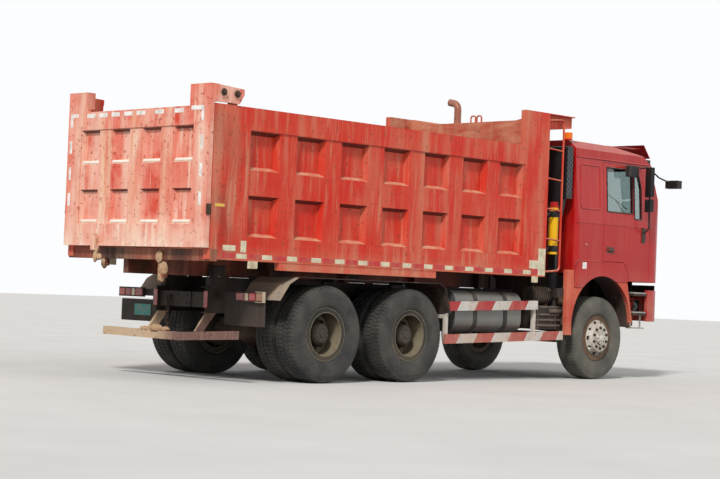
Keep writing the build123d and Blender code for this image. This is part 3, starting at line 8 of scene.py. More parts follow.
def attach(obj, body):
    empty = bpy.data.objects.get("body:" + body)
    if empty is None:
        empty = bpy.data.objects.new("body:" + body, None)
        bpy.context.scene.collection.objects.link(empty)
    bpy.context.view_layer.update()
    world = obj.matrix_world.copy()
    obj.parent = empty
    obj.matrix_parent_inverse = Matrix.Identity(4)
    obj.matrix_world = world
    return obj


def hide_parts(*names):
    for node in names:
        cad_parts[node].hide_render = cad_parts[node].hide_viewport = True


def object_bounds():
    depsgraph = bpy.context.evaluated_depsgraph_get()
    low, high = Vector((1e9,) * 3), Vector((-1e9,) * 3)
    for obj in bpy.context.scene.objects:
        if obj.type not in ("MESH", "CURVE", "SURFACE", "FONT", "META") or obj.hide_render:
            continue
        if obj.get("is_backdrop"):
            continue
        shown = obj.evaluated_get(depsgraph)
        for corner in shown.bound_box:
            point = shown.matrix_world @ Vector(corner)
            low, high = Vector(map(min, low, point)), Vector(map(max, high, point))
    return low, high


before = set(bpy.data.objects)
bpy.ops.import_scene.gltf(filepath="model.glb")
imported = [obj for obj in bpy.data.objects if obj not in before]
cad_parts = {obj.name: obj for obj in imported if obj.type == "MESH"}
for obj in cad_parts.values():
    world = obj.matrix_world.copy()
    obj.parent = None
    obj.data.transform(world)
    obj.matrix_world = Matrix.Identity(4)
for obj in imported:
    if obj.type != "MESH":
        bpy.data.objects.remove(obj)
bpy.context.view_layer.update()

# Places are given in mm as X, station and Z: a station is the distance behind the front axle.
# Patterns in materials are measured in metres along the frame's own X, Y and Z.
AXLE_1_Y = -2.820
AXLE_STATIONS = {"front": 0, "middle": 3783, "rear": 5183}
HUB_Z = 552
FULL_TURN = 2 * math.pi
SIDES = (("right", -1), ("left", 1))


def at(x, station, z):
    """A place in mm as a point of the shared frame, in metres."""
    return Vector((x / 1000, AXLE_1_Y + station / 1000, z / 1000))


# Modelling helpers


def only(obj):
    """Selects this piece alone."""
    bpy.ops.object.select_all(action="DESELECT")
    obj.select_set(True)
    bpy.context.view_layer.objects.active = obj


def settle(name):
    """Names the newest piece and puts its place, turn and size in its mesh."""
    obj = bpy.context.object
    only(obj)
    bpy.ops.object.transform_apply(location=True, rotation=True, scale=True)
    obj.name = name
    obj.data.name = name
    return obj


def shape(obj, kind, **settings):
    """Adds a modifier with these settings and applies it."""
    only(obj)
    modifier = obj.modifiers.new(kind, kind)
    for key, value in settings.items():
        setattr(modifier, key, value)
    bpy.ops.object.modifier_apply(modifier=modifier.name)
    return obj


def edit(obj, test):
    """Opens a piece for editing with the faces selected whose centre and normal pass a test."""
    only(obj)
    bpy.ops.object.mode_set(mode="EDIT")
    bpy.ops.mesh.select_mode(type="FACE")
    bpy.ops.mesh.select_all(action="DESELECT")
    mesh = bmesh.from_edit_mesh(obj.data)
    for face in mesh.faces:
        face.select_set(test(face.calc_center_median(), face.normal))
    bmesh.update_edit_mesh(obj.data)


def close():
    """Ends the editing of a piece."""
    bpy.ops.object.mode_set(mode="OBJECT")


def smooth(obj, angle=35):
    """Shades a piece smooth, except across edges that turn more than this angle."""
    only(obj)
    bpy.ops.object.shade_smooth_by_angle(angle=math.radians(angle))
    return obj


def bevel(obj, width, segments=2):
    """Rounds a piece's sharp edges by a width in mm."""
    return shape(obj, "BEVEL", width=width / 1000, segments=segments, limit_method="ANGLE")


def block(name, low, high, edge=3.0):
    """A box between two corners with rounded edges."""
    a, b = at(*low), at(*high)
    bpy.ops.mesh.primitive_cube_add(size=1, location=(a + b) / 2)
    bpy.context.object.scale = [abs(c) for c in b - a]
    obj = settle(name)
    return bevel(obj, edge) if edge else obj


def bar(name, start, end, radius, sides=20, edge=0.0):
    """A round or polygonal bar between two points."""
    a, b = at(*start), at(*end)
    run = b - a
    turn = run.to_track_quat("Z", "Y").to_euler()
    bpy.ops.mesh.primitive_cylinder_add(vertices=sides, radius=radius / 1000, depth=run.length,
                                        location=(a + b) / 2, rotation=turn)
    obj = settle(name)
    if edge:
        bevel(obj, edge)
    return smooth(obj)


def spun(name, section, station, steps=72, height=HUB_Z):
    """A piece turned about an axle along X: its closed section gives X and radius."""
    bpy.ops.mesh.primitive_circle_add(vertices=len(section), radius=1)
    obj = settle(name)
    for vertex, (x, radius) in zip(obj.data.vertices, section):
        vertex.co = at(x, station, height + radius)
    only(obj)
    bpy.ops.object.mode_set(mode="EDIT")
    bpy.ops.mesh.select_all(action="SELECT")
    bpy.ops.mesh.spin(steps=steps, angle=FULL_TURN, center=at(0, station, height), axis=(1, 0, 0))
    bpy.ops.mesh.select_all(action="SELECT")
    bpy.ops.mesh.remove_doubles(threshold=0.00005)
    bpy.ops.mesh.normals_make_consistent(inside=False)
    close()
    return smooth(obj)


def copied(obj, matrix):
    """A copy with its own mesh, moved, turned or mirrored."""
    twin = obj.copy()
    twin.data = obj.data.copy()
    bpy.context.collection.objects.link(twin)
    twin.data.transform(matrix)
    if matrix.determinant() < 0:
        twin.data.flip_normals()
    return twin


def joined(name, pieces):
    """Joins pieces into one."""
    bpy.ops.object.select_all(action="DESELECT")
    for piece in pieces:
        piece.select_set(True)
    bpy.context.view_layer.objects.active = pieces[0]
    bpy.ops.object.join()
    obj = bpy.context.object
    obj.name = name
    obj.data.name = name
    return obj


def moved(x=0, station=0, z=0):
    """A shift in mm."""
    return Matrix.Translation((x / 1000, station / 1000, z / 1000))


def about_axle(angle, station, height=HUB_Z):
    """A turn about an axle along X."""
    centre = at(0, station, height)
    return Matrix.Translation(centre) @ Matrix.Rotation(angle, 4, "X") @ Matrix.Translation(-centre)


def ring(name, obj, count, station, height=HUB_Z):
    """A piece repeated evenly round an axle."""
    turns = [about_axle(FULL_TURN * k / count, station, height) for k in range(1, count)]
    return joined(name, [obj] + [copied(obj, turn) for turn in turns])


MIRROR_X = Matrix.Scale(-1, 4, (1, 0, 0))


def other_side(obj, name):
    """A piece's mirrored copy on the other side of the truck."""
    twin = copied(obj, MIRROR_X)
    twin.name = name
    twin.data.name = name
    return twin


def fit(obj, material, body):
    """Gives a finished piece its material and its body."""
    obj.data.materials.clear()
    obj.data.materials.append(material)
    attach(obj, body)
    return obj


# Material helpers


def tint(red, green, blue):
    """A colour as it looks on a screen, 0 to 255, in linear values."""
    return tuple(((c / 255 + 0.055) / 1.055) ** 2.4 for c in (red, green, blue)) + (1.0,)


# Sockets of a mix node that mixes colours
MIX_FIRST = 6
MIX_SECOND = 7
MIX_RESULT = 2


class Tree:
    """Short calls that add nodes to a material or a group."""

    def __init__(self, tree):
        self.tree = tree

    def link(self, value, socket):
        self.tree.links.new(value, socket)

    def add(self, kind, values, **settings):
        """A node with its settings, and a value or a link for each of its inputs."""
        node = self.tree.nodes.new("ShaderNode" + kind)
        for key, value in settings.items():
            setattr(node, key, value)
        for key, value in values.items():
            if isinstance(value, bpy.types.NodeSocket):
                self.link(value, node.inputs[key])
            else:
                node.inputs[key].default_value = value
        return node

    def calc(self, operation, a, b=0.0):
        return self.add("Math", {0: a, 1: b}, operation=operation).outputs[0]

    def times(self, a, b):
        return self.calc("MULTIPLY", a, b)

    def plus(self, a, b):
        return self.calc("ADD", a, b)

    def minus(self, a, b):
        return self.calc("SUBTRACT", a, b)

    def over(self, value, limit):
        """1 where a value lies above a limit."""
        return self.calc("GREATER_THAN", value, limit)

    def under(self, value, limit):
        """1 where a value lies below a limit."""
        return self.calc("LESS_THAN", value, limit)

    def band(self, value, low, high):
        """1 where a value lies between two limits."""
        return self.times(self.over(value, low), self.under(value, high))

    def ramp(self, value, low, high):
        """A value's rise from 0 to 1 between two limits."""
        return self.add("MapRange", {"Value": value, "From Min": low, "From Max": high}).outputs[0]

    def mix(self, share, first, second):
        values = {0: share, MIX_FIRST: first, MIX_SECOND: second}
        return self.add("Mix", values, data_type="RGBA").outputs[MIX_RESULT]

    def noise(self, where, scale, detail=3.0):
        return self.add("TexNoise", {"Vector": where, "Scale": scale, "Detail": detail}).outputs[0]

    def stretch(self, where, scale):
        return self.add("Mapping", {"Vector": where, "Scale": scale}).outputs[0]

    def place(self):
        return self.add("TexCoord", {}).outputs["Object"]

    def split(self, vector):
        return self.add("SeparateXYZ", {0: vector}).outputs

    def bump(self, height, strength, distance=0.002):
        return self.add("Bump", {"Height": height, "Strength": strength, "Distance": distance}).outputs[0]


def group(name, inputs, outputs):
    """An empty shader group with its sockets, and its input and output nodes."""
    tree = bpy.data.node_groups.new(name, "ShaderNodeTree")
    for label, kind, value in inputs:
        socket = tree.interface.new_socket(label, in_out="INPUT", socket_type="NodeSocket" + kind)
        socket.default_value = value
    for label, kind in outputs:
        tree.interface.new_socket(label, in_out="OUTPUT", socket_type="NodeSocket" + kind)
    return tree, tree.nodes.new("NodeGroupInput").outputs, tree.nodes.new("NodeGroupOutput").inputs


# Weathering: fading, soil runs, chips, dust on ledges, splashes low down, and painted shade that darkens
# undersides
GREY = (0.5, 0.5, 0.5, 1.0)
UNDERSIDE_SHADE = tint(44, 20, 18)
weathering, given, result = group(
    "weathering",
    [(label, "Color", GREY) for label in ("Color", "Faded", "Bare", "Mud")]
    + [(label, "Float", 0.5) for label in ("Fade", "Runs", "Ledges", "Splash", "Splash Low")]
    + [("Splash High", "Float", 1.2), ("Chips", "Float", 0.5), ("Gloss", "Float", 0.4),
       ("Relief", "Float", 0.3)],
    [("Color", "Color"), ("Roughness", "Float"), ("Normal", "Vector")])
t = Tree(weathering)
coords = t.add("TexCoord", {}).outputs
spot = coords["Object"]
upward = t.split(coords["Normal"])[2]
height = t.split(spot)[2]
patches = t.ramp(t.noise(spot, 1.7, 5), 0.38, 0.66)
fine = t.noise(spot, 60, 4)
faded = t.times(patches, given["Fade"])
color = t.mix(faded, given["Color"], given["Faded"])
streaks = t.ramp(t.noise(t.stretch(spot, (15, 15, 1.3)), 1, 5), 0.52, 0.7)
clusters = t.ramp(t.noise(spot, 0.9, 3), 0.35, 0.62)
broad = t.ramp(t.noise(t.stretch(spot, (4, 4, 0.5)), 1, 4), 0.5, 0.72)
streaks = t.calc("MAXIMUM", t.times(streaks, clusters), t.times(broad, 0.8))
runs = t.times(streaks, given["Runs"])
color = t.mix(runs, color, given["Mud"])
thin = t.ramp(t.noise(t.stretch(spot, (42, 42, 2.2)), 1, 4), 0.58, 0.72)
color = t.mix(t.times(thin, t.times(given["Runs"], 0.45)), color, given["Mud"])
chips = t.times(t.ramp(t.noise(spot, 23, 8), 0.61, 0.66), given["Chips"])
color = t.mix(chips, color, given["Bare"])
ledge = t.times(t.ramp(upward, 0.15, 0.7), given["Ledges"])
ledge = t.times(ledge, t.ramp(t.noise(spot, 9, 4), 0.25, 0.6))
splash = t.times(t.ramp(height, given["Splash High"], given["Splash Low"]), given["Splash"])
splash = t.times(splash, t.ramp(t.noise(spot, 5, 6), 0.2, 0.65))
dirt = t.calc("MAXIMUM", ledge, splash)
color = t.mix(dirt, color, given["Mud"])
# Painted shade: faces that look downwards are darkened towards a dark maroon
below = t.times(t.ramp(upward, -0.3, -0.85), 0.86)
color = t.mix(below, color, UNDERSIDE_SHADE)
t.link(color, result["Color"])
rough = t.plus(given["Gloss"], t.times(t.calc("MAXIMUM", dirt, runs), 0.4))
rough = t.plus(rough, t.times(fine, 0.12))
t.link(rough, result["Roughness"])
waves = t.plus(t.times(t.noise(spot, 3.2, 2), 6.0), t.times(fine, 0.35))
waves = t.plus(waves, t.minus(t.times(dirt, 1.2), chips))
t.link(t.bump(waves, given["Relief"], 0.003), result["Normal"])


def start(name):
    """A new material's node tree and its shader."""
    material = bpy.data.materials.new(name)
    material.use_nodes = True
    tree = Tree(material.node_tree)
    return material, tree, material.node_tree.nodes["Principled BSDF"]


def weathered(t, shader, color, **values):
    """Feeds the shader from the weathering group with a material's own colours and amounts."""
    settings = {"Color": color, "Faded": tint(200, 96, 78), "Bare": tint(70, 42, 34),
                "Mud": tint(186, 152, 128)}
    settings.update({key.replace("_", " "): value for key, value in values.items()})
    node = t.add("Group", settings, node_tree=weathering)
    shader.inputs["Specular IOR Level"].default_value = 0.25
    for label, socket in (("Color", "Base Color"), ("Roughness", "Roughness"), ("Normal", "Normal")):
        t.link(node.outputs[label], shader.inputs[socket])


DUST = tint(176, 156, 134)
BROWN = tint(96, 72, 58)
BODY_RED = tint(200, 38, 16)
CAB_RED = tint(170, 8, 10)

# Body paint: faded red outside, or dark brown outside the floor for grime and painted shade, scraped and
# caked with soil where the load lies
LOAD_HALF_X = 1.139
LOAD_Y = (-1.4925, 4.174)
LOAD_FLOOR_Z = 1.435


def body_finish(name, outside, **values):
    material, t, shader = start(name)
    x, y, z = t.split(t.place())
    inside = t.times(t.under(t.calc("ABSOLUTE", x), LOAD_HALF_X), t.band(y, *LOAD_Y))
    inside = t.times(inside, t.over(z, LOAD_FLOOR_Z))
    scrape = t.ramp(t.noise(t.stretch(t.place(), (2, 9, 9)), 1, 6), 0.35, 0.65)
    soil = t.mix(scrape, tint(128, 70, 54), tint(166, 118, 94))
    rubbed = t.mix(scrape, tint(176, 70, 50), tint(208, 140, 112))
    soil = t.mix(t.ramp(z, 2.5, 3.1), soil, rubbed)
    # Darker brown in patches towards the rear
    rear_dark_patches = t.times(t.ramp(y, 3.3, 4.1), t.ramp(t.noise(t.place(), 2.2, 4), 0.4, 0.62))
    outside = t.mix(t.times(rear_dark_patches, 0.55), outside, tint(104, 60, 46))
    weathered(t, shader, t.mix(inside, outside, soil), Faded=tint(206, 92, 66), Mud=tint(202, 156, 126),
              Fade=0.45, Ledges=0.9, Chips=0.4, Gloss=0.42, **values)
    return material


body_paint = body_finish("body_paint", BODY_RED, Runs=0.6, Splash=0.45, Splash_Low=1.28, Splash_High=1.5,
                         Relief=0.4)
# The floor's outside is dark brown: grime, and painted shade under the body
body_floor = body_finish("body_floor", tint(58, 40, 34), Runs=0.35, Splash=0.2, Relief=0.5)

# Tailgate: worn paint with soil caked along its ribs outside, grime inside
GATE_RIBS = ((0.540, 0.95), (0.004, 0.6), (-0.535, 0.45), (0.985, 0.3))
GATE_TOP_Z = 2.95
gate_paint, t, shader = start("gate_paint")
x, y, z = t.split(t.place())
fresh = t.ramp(t.noise(t.place(), 3.5, 5), 0.5, 0.62)
outer = t.mix(fresh, tint(222, 120, 100), tint(206, 60, 38))
ribs = None
for centre, share in GATE_RIBS:
    near = t.times(t.ramp(t.calc("ABSOLUTE", t.minus(x, centre)), 0.13, 0.05), share)
    ribs = near if ribs is None else t.calc("MAXIMUM", ribs, near)
caked = t.ramp(t.noise(t.stretch(t.place(), (9, 9, 1.1)), 1, 5), 0.36, 0.6)
outer = t.mix(t.times(ribs, caked), outer, tint(228, 186, 150))
loaded = t.times(t.under(y, LOAD_Y[1]), t.under(z, GATE_TOP_Z))
weathered(t, shader, t.mix(loaded, outer, tint(132, 84, 66)), Faded=tint(232, 166, 144),
          Bare=tint(168, 62, 44), Mud=tint(244, 226, 206), Fade=0.6, Runs=0.8, Ledges=1.0, Splash=0.7,
          Splash_Low=1.42, Splash_High=1.8, Chips=0.7, Gloss=0.5, Relief=0.5)

# Cab: red paint, with the beacon on its roof in orange
BEACON_X = (-0.86, -0.72)
BEACON_Y = (-2.58, -2.44)
BEACON_FOOT_Z = 3.205
cab_paint, t, shader = start("cab_paint")
x, y, z = t.split(t.place())
on_beacon = t.times(t.over(z, BEACON_FOOT_Z), t.band(x, *BEACON_X))
on_beacon = t.times(on_beacon, t.band(y, *BEACON_Y))
weathered(t, shader, t.mix(on_beacon, CAB_RED, tint(240, 120, 20)),
          Faded=t.mix(on_beacon, tint(190, 30, 26), tint(244, 150, 50)), Fade=0.35, Runs=0.1, Ledges=0.25,
          Splash=0.45, Splash_Low=0.75, Splash_High=1.5, Chips=0.08, Gloss=0.3, Relief=0.12)
shader.inputs["Coat Weight"].default_value = 0.2
shader.inputs["Coat Roughness"].default_value = 0.12

# Mudguards: faded paint on the outer legs of the front arches, black elsewhere, dusty at the rear ends
ARCH_LEG_X = 1.166
ARCH_REAR_Y = -1.9
DUSTY_Y = (2.86, 3.3)
mudguard_finish, t, shader = start("mudguard_finish")
x, y = t.split(t.place())[:2]
leg = t.times(t.over(t.calc("ABSOLUTE", x), ARCH_LEG_X), t.under(y, ARCH_REAR_Y))
dark = t.mix(t.times(t.band(y, *DUSTY_Y), 0.8), tint(26, 26, 28), tint(168, 158, 142))
weathered(t, shader, t.mix(leg, dark, tint(190, 62, 44)), Faded=t.mix(leg, dark, tint(216, 120, 94)),
          Fade=0.8, Runs=0.2, Ledges=0.5, Splash=0.25, Splash_Low=0.5, Splash_High=1.3, Chips=0.3,
          Gloss=0.5, Relief=0.4)


def plain_finish(name, color, metallic=0.0, **values):
    """A material that only needs the weathering group with its own values."""
    material, t, shader = start(name)
    weathered(t, shader, color, **values)
    shader.inputs["Metallic"].default_value = metallic
    return material


chassis_black = plain_finish("chassis_black", tint(28, 27, 28), Faded=tint(54, 46, 42),
                             Mud=tint(104, 88, 76), Fade=0.7, Runs=0.25, Ledges=0.8, Splash=0.45,
                             Splash_Low=0.4, Splash_High=1.3, Chips=0.4, Gloss=0.5, Relief=0.35)
cast_iron = plain_finish("cast_iron", tint(44, 38, 35), Faded=tint(84, 62, 50), Mud=tint(122, 102, 86),
                         Fade=0.8, Runs=0.2, Ledges=0.9, Splash=0.7, Splash_Low=0.35, Splash_High=0.95,
                         Chips=0.7, Gloss=0.62, Relief=0.8)
black_plastic = plain_finish("black_plastic", tint(24, 24, 26), Faded=tint(52, 52, 54), Mud=DUST, Fade=0.5,
                             Runs=0.1, Ledges=0.5, Splash=0.3, Splash_Low=0.9, Splash_High=2.4, Chips=0.1,
                             Gloss=0.45, Relief=0.15)
bare_steel = plain_finish("bare_steel", tint(150, 150, 150), 0.9, Faded=tint(120, 116, 110), Mud=BROWN,
                          Fade=0.4, Runs=0.2, Ledges=0.4, Splash=0.3, Chips=0.1, Gloss=0.22, Relief=0.1)


def nearest(t, along, centres, height, level):
    """The distance in a plane from the nearest of some centres that lie on one level."""
    rise = t.calc("POWER", t.minus(height, level), 2.0)
    reach = None
    for centre in centres:
        run = t.calc("POWER", t.minus(along, centre), 2.0)
        radius = t.calc("SQRT", t.plus(run, rise))
        reach = radius if reach is None else t.calc("MINIMUM", reach, radius)
    return reach


def wheel_radius(t, stations):
    """The distance from the nearest of these axles."""
    y, z = t.split(t.place())[1:]
    return nearest(t, y, [at(0, station, 0).y for station in stations], z, HUB_Z / 1000)


# Front rims: a cream disc in a dark brown barrel, partly rust and partly painted shade inside the tyre
DISC_RADIUS = 0.238
rim_cream, t, shader = start("rim_cream")
beyond = t.over(wheel_radius(t, [0]), DISC_RADIUS)
barrel = t.mix(t.ramp(t.noise(t.place(), 11, 5), 0.3, 0.7), tint(58, 44, 36), tint(110, 82, 60))
weathered(t, shader, t.mix(beyond, tint(214, 210, 202), barrel),
          Faded=t.mix(beyond, tint(190, 180, 162), barrel), Bare=tint(96, 56, 36), Mud=tint(120, 98, 78),
          Fade=0.6, Runs=0.25, Ledges=0.5, Splash=0.7, Splash_Low=0.22, Splash_High=0.62, Chips=0.55,
          Gloss=0.42, Relief=0.3)

# Rear rims: a dark hub, then olive, dark and pale from their radii on
rim_olive, t, shader = start("rim_olive")
radius = wheel_radius(t, [AXLE_STATIONS["middle"], AXLE_STATIONS["rear"]])
coat = tint(50, 48, 44)
for edge, paint in ((0.205, tint(128, 120, 98)), (0.25, tint(42, 42, 40)), (0.299, tint(150, 142, 120))):
    coat = t.mix(t.over(radius, edge), coat, paint)
weathered(t, shader, coat, Faded=coat, Bare=tint(70, 48, 36), Mud=tint(120, 106, 88), Fade=0.0, Runs=0.2,
          Ledges=0.5, Splash=0.45, Splash_Low=0.2, Splash_High=0.8, Chips=0.5, Gloss=0.5, Relief=0.4)

old_mud = plain_finish("dried_mud", tint(186, 152, 118), Faded=tint(160, 126, 98), Mud=tint(204, 178, 148),
                       Fade=0.8, Runs=0.3, Ledges=0.4, Splash=0.0, Chips=0.4, Gloss=0.8, Relief=1.0)

# Underrun bar: brown on the right as painted shade, and pale on the left, partly caked soil and partly
# painted sunlight
underrun_finish, t, shader = start("underrun_finish")
x = t.split(t.place())[0]
# Painted light and shade: paler towards the left, browner towards the right
coat = t.mix(t.ramp(x, -0.15, 0.2), tint(104, 78, 74), tint(196, 170, 142))
weathered(t, shader, coat, Faded=t.mix(0.3, coat, tint(150, 110, 90)), Mud=tint(206, 182, 152), Fade=1.0,
          Runs=0.2, Ledges=0.9, Splash=0.0, Chips=0.6, Gloss=0.6, Relief=0.8)
pipe_finish = plain_finish("pipe_finish", tint(150, 92, 76), 0.3, Faded=tint(176, 130, 112),
                           Mud=tint(110, 80, 66), Fade=0.9, Runs=0.4, Ledges=0.3, Splash=0.5,
                           Splash_Low=0.9, Splash_High=2.2, Chips=0.5, Gloss=0.42, Relief=0.3)

# Tank: dull metal with the two straps in dark paint
TANK_STRAPS_Y = ((-0.920, -0.848), (-0.339, -0.267))
tank_metal, t, shader = start("tank_metal")
y = t.split(t.place())[1]
strap = t.plus(*[t.band(y, *place) for place in TANK_STRAPS_Y])
weathered(t, shader, t.mix(strap, tint(104, 106, 106), tint(30, 30, 32)),
          Faded=t.mix(strap, tint(128, 124, 116), tint(34, 34, 36)), Mud=tint(120, 108, 94), Fade=0.6,
          Runs=0.2, Ledges=0.4, Splash=0.3, Splash_Low=0.55, Splash_High=1.0, Chips=0.15, Gloss=0.32,
          Relief=0.25)
shader.inputs["Metallic"].default_value = 0.4

# Side guards: slanting red and white stripes on the bars' outer faces, white elsewhere
GUARD_FACE_X = 1.1505
LOW_BAR_Z = 0.515
BAR_SPACING = 0.4
STRIPE_SHIFT = 0.055
STRIPE_SLOPE = 0.66
STRIPES_PER_M = 1.55
guard_stripes, t, shader = start("guard_stripes")
x, y, z = t.split(t.place())
own_bar = t.plus(LOW_BAR_Z, t.times(t.over(z, 0.75), BAR_SPACING))
slant = t.plus(t.minus(y, STRIPE_SHIFT), t.times(t.minus(z, own_bar), STRIPE_SLOPE))
stripe = t.under(t.calc("FRACT", t.times(slant, STRIPES_PER_M)), 0.5)
red_here = t.times(stripe, t.over(t.calc("ABSOLUTE", x), GUARD_FACE_X))
weathered(t, shader, t.mix(red_here, tint(206, 204, 200), tint(168, 30, 44)),
          Faded=t.mix(red_here, tint(186, 172, 150), tint(176, 74, 70)), Fade=0.6, Runs=0.3, Ledges=0.4,
          Splash=0.55, Splash_Low=0.42, Splash_High=1.05, Chips=0.45, Gloss=0.45, Relief=0.2)

# Raised intake: black housing with a quilted mesh on the outer face of its head, its cells painted
# near-black as painted shade
HEAD_Z = (2.42, 3.0)
HEAD_FACE_X = -1.187
QUILT_PITCH = 0.035
intake_mesh, t, shader = start("intake_mesh")
x, y, z = t.split(t.place())
across = t.plus(x, y)
rows = [t.calc("PINGPONG", t.plus(t.times(across, sign), z), QUILT_PITCH) for sign in (1.0, -1.0)]
lattice = t.ramp(t.calc("MINIMUM", *rows), 0.002, 0.012)
head = t.times(t.band(z, *HEAD_Z), t.under(x, HEAD_FACE_X))
# Painted shade: the mesh's recessed cells are near-black, the ridges grey
shade = t.mix(t.times(lattice, head), tint(84, 90, 98), tint(10, 10, 12))
shade = t.mix(head, tint(30, 31, 34), shade)
t.link(shade, shader.inputs["Base Color"])
shader.inputs["Roughness"].default_value = 0.5
relief = t.times(t.times(lattice, -1.0), head)
relief = t.plus(relief, t.times(t.noise(t.place(), 70, 3), 0.15))
t.link(t.bump(relief, 0.9, 0.012), shader.inputs["Normal"])

# Tyre rubber: dark with patches and specks of dust, and paler on the front wheels
tyre_rubber, t, shader = start("tyre_rubber")
where = t.place()
dust = t.ramp(t.noise(where, 4, 6), 0.35, 0.75)
speck = t.ramp(t.noise(where, 90, 3), 0.5, 0.75)
base = t.mix(t.times(dust, 0.45), tint(28, 30, 33), tint(104, 98, 88))
t.link(t.mix(t.times(speck, 0.25), base, tint(130, 120, 104)), shader.inputs["Base Color"])
shader.inputs["Roughness"].default_value = 0.78
t.link(t.bump(t.plus(t.noise(where, 120, 4), t.times(dust, 0.6)), 0.35), shader.inputs["Normal"])
front_rubber = tyre_rubber.copy()
front_rubber.name = "front_tyre_rubber"
for node in front_rubber.node_tree.nodes:
    if node.type == "MIX" and not node.inputs[MIX_FIRST].is_linked:
        node.inputs[MIX_FIRST].default_value = tint(62, 62, 58)
        node.inputs[MIX_SECOND].default_value = tint(138, 132, 118)

# Window glass with a slight haze, tinted grey-green as painted shade that darkens the cab's inside
glass, t, shader = start("window_glass")
shader.inputs["Base Color"].default_value = tint(176, 190, 188)
shader.inputs["Transmission Weight"].default_value = 1.0
shader.inputs["IOR"].default_value = 1.45
haze = t.ramp(t.noise(t.place(), 3, 5), 0.45, 0.8)
t.link(t.plus(0.02, t.times(haze, 0.05)), shader.inputs["Roughness"])

# Canister: yellow with a red top and dark bands
BANDS_Z = ((1.66, 1.74), (2.11, 2.19))
CANISTER_TOP_Z = 2.235
canister_paint, t, shader = start("canister_paint")
z = t.split(t.place())[2]
bands = t.plus(*[t.band(z, *place) for place in BANDS_Z])
coat = t.mix(bands, tint(226, 176, 24), tint(28, 28, 28))
coat = t.mix(t.over(z, CANISTER_TOP_Z), coat, tint(170, 24, 20))
weathered(t, shader, coat, Faded=coat, Fade=0.0, Runs=0.15, Ledges=0.5, Splash=0.2, Chips=0.2, Gloss=0.3,
          Relief=0.1)


def lens(name, color, rows=55.0):
    """Ribbed lamp glass in one colour."""
    material, t, shader = start(name)
    x = t.split(t.place())[0]
    ribs = t.calc("PINGPONG", t.times(x, rows), 0.5)
    fade = t.ramp(t.noise(t.place(), 25, 4), 0.4, 0.8)
    dusty = tuple(c * 0.6 + 0.18 for c in color[:3]) + (1.0,)
    t.link(t.mix(t.times(fade, 0.5), color, dusty), shader.inputs["Base Color"])
    t.link(t.bump(t.plus(ribs, t.noise(t.place(), 60, 2)), 0.5), shader.inputs["Normal"])
    shader.inputs["Roughness"].default_value = 0.18
    shader.inputs["Coat Weight"].default_value = 0.6
    return material


# Headlamps: two round lamps on each side, each a grey bulb, a pale bowl and a grey ring in a dark frame
LAMPS_X = (0.5664, 0.7136)
LAMP_Z = 0.99
headlamp_glass, t, shader = start("headlamp_glass")
x, y, z = t.split(t.place())
reach = nearest(t, t.calc("ABSOLUTE", x), LAMPS_X, z, LAMP_Z)
shade = t.mix(t.ramp(reach, 0.012, 0.03), tint(120, 124, 128), tint(214, 218, 222))
shade = t.mix(t.over(reach, 0.058), shade, tint(168, 170, 174))
shade = t.mix(t.over(reach, 0.0685), shade, tint(42, 44, 48))
t.link(shade, shader.inputs["Base Color"])
ribs = t.calc("PINGPONG", t.times(x, 60.0), 0.5)
t.link(t.bump(t.plus(ribs, t.noise(t.place(), 40, 3)), 0.4), shader.inputs["Normal"])
shader.inputs["Roughness"].default_value = 0.16
shader.inputs["Coat Weight"].default_value = 0.6
red_lens = lens("red_lens", tint(150, 22, 20))
cream_lens = lens("cream_lens", tint(206, 186, 150))
amber_lens = lens("amber_lens", tint(186, 66, 22), 30.0)


def tape(name, color):
    """Reflecting tape with its fine cell pattern and dirt."""
    material, t, shader = start(name)
    cells = t.add("TexVoronoi", {"Vector": t.place(), "Scale": 180.0}).outputs["Distance"]
    dirt = t.ramp(t.noise(t.place(), 14, 6), 0.42, 0.75)
    soiled = t.mix(t.times(dirt, 0.55), color, tint(150, 118, 96))
    t.link(soiled, shader.inputs["Base Color"])
    t.link(t.bump(cells, 0.2, 0.001), shader.inputs["Normal"])
    shader.inputs["Roughness"].default_value = 0.35
    return material


cream_tape = tape("cream_tape", tint(214, 206, 176))
white_tape = tape("white_tape", tint(238, 236, 232))
red_tape = tape("red_tape", tint(188, 20, 26))
teal_plate = tape("teal_plate", tint(34, 136, 128))

# Seat cloth with a fine weave
THREADS_PER_M = 320.0
seat_cloth, t, shader = start("seat_cloth")
x, y, z = t.split(t.place())
weave = t.plus(*[t.calc("PINGPONG", t.times(way, THREADS_PER_M), 0.5) for way in (x, z)])
worn = t.ramp(t.noise(t.place(), 6, 4), 0.4, 0.7)
t.link(t.mix(worn, tint(40, 40, 44), tint(58, 56, 58)), shader.inputs["Base Color"])
t.link(t.bump(weave, 0.4, 0.001), shader.inputs["Normal"])
shader.inputs["Roughness"].default_value = 0.9
shader.inputs["Sheen Weight"].default_value = 0.3

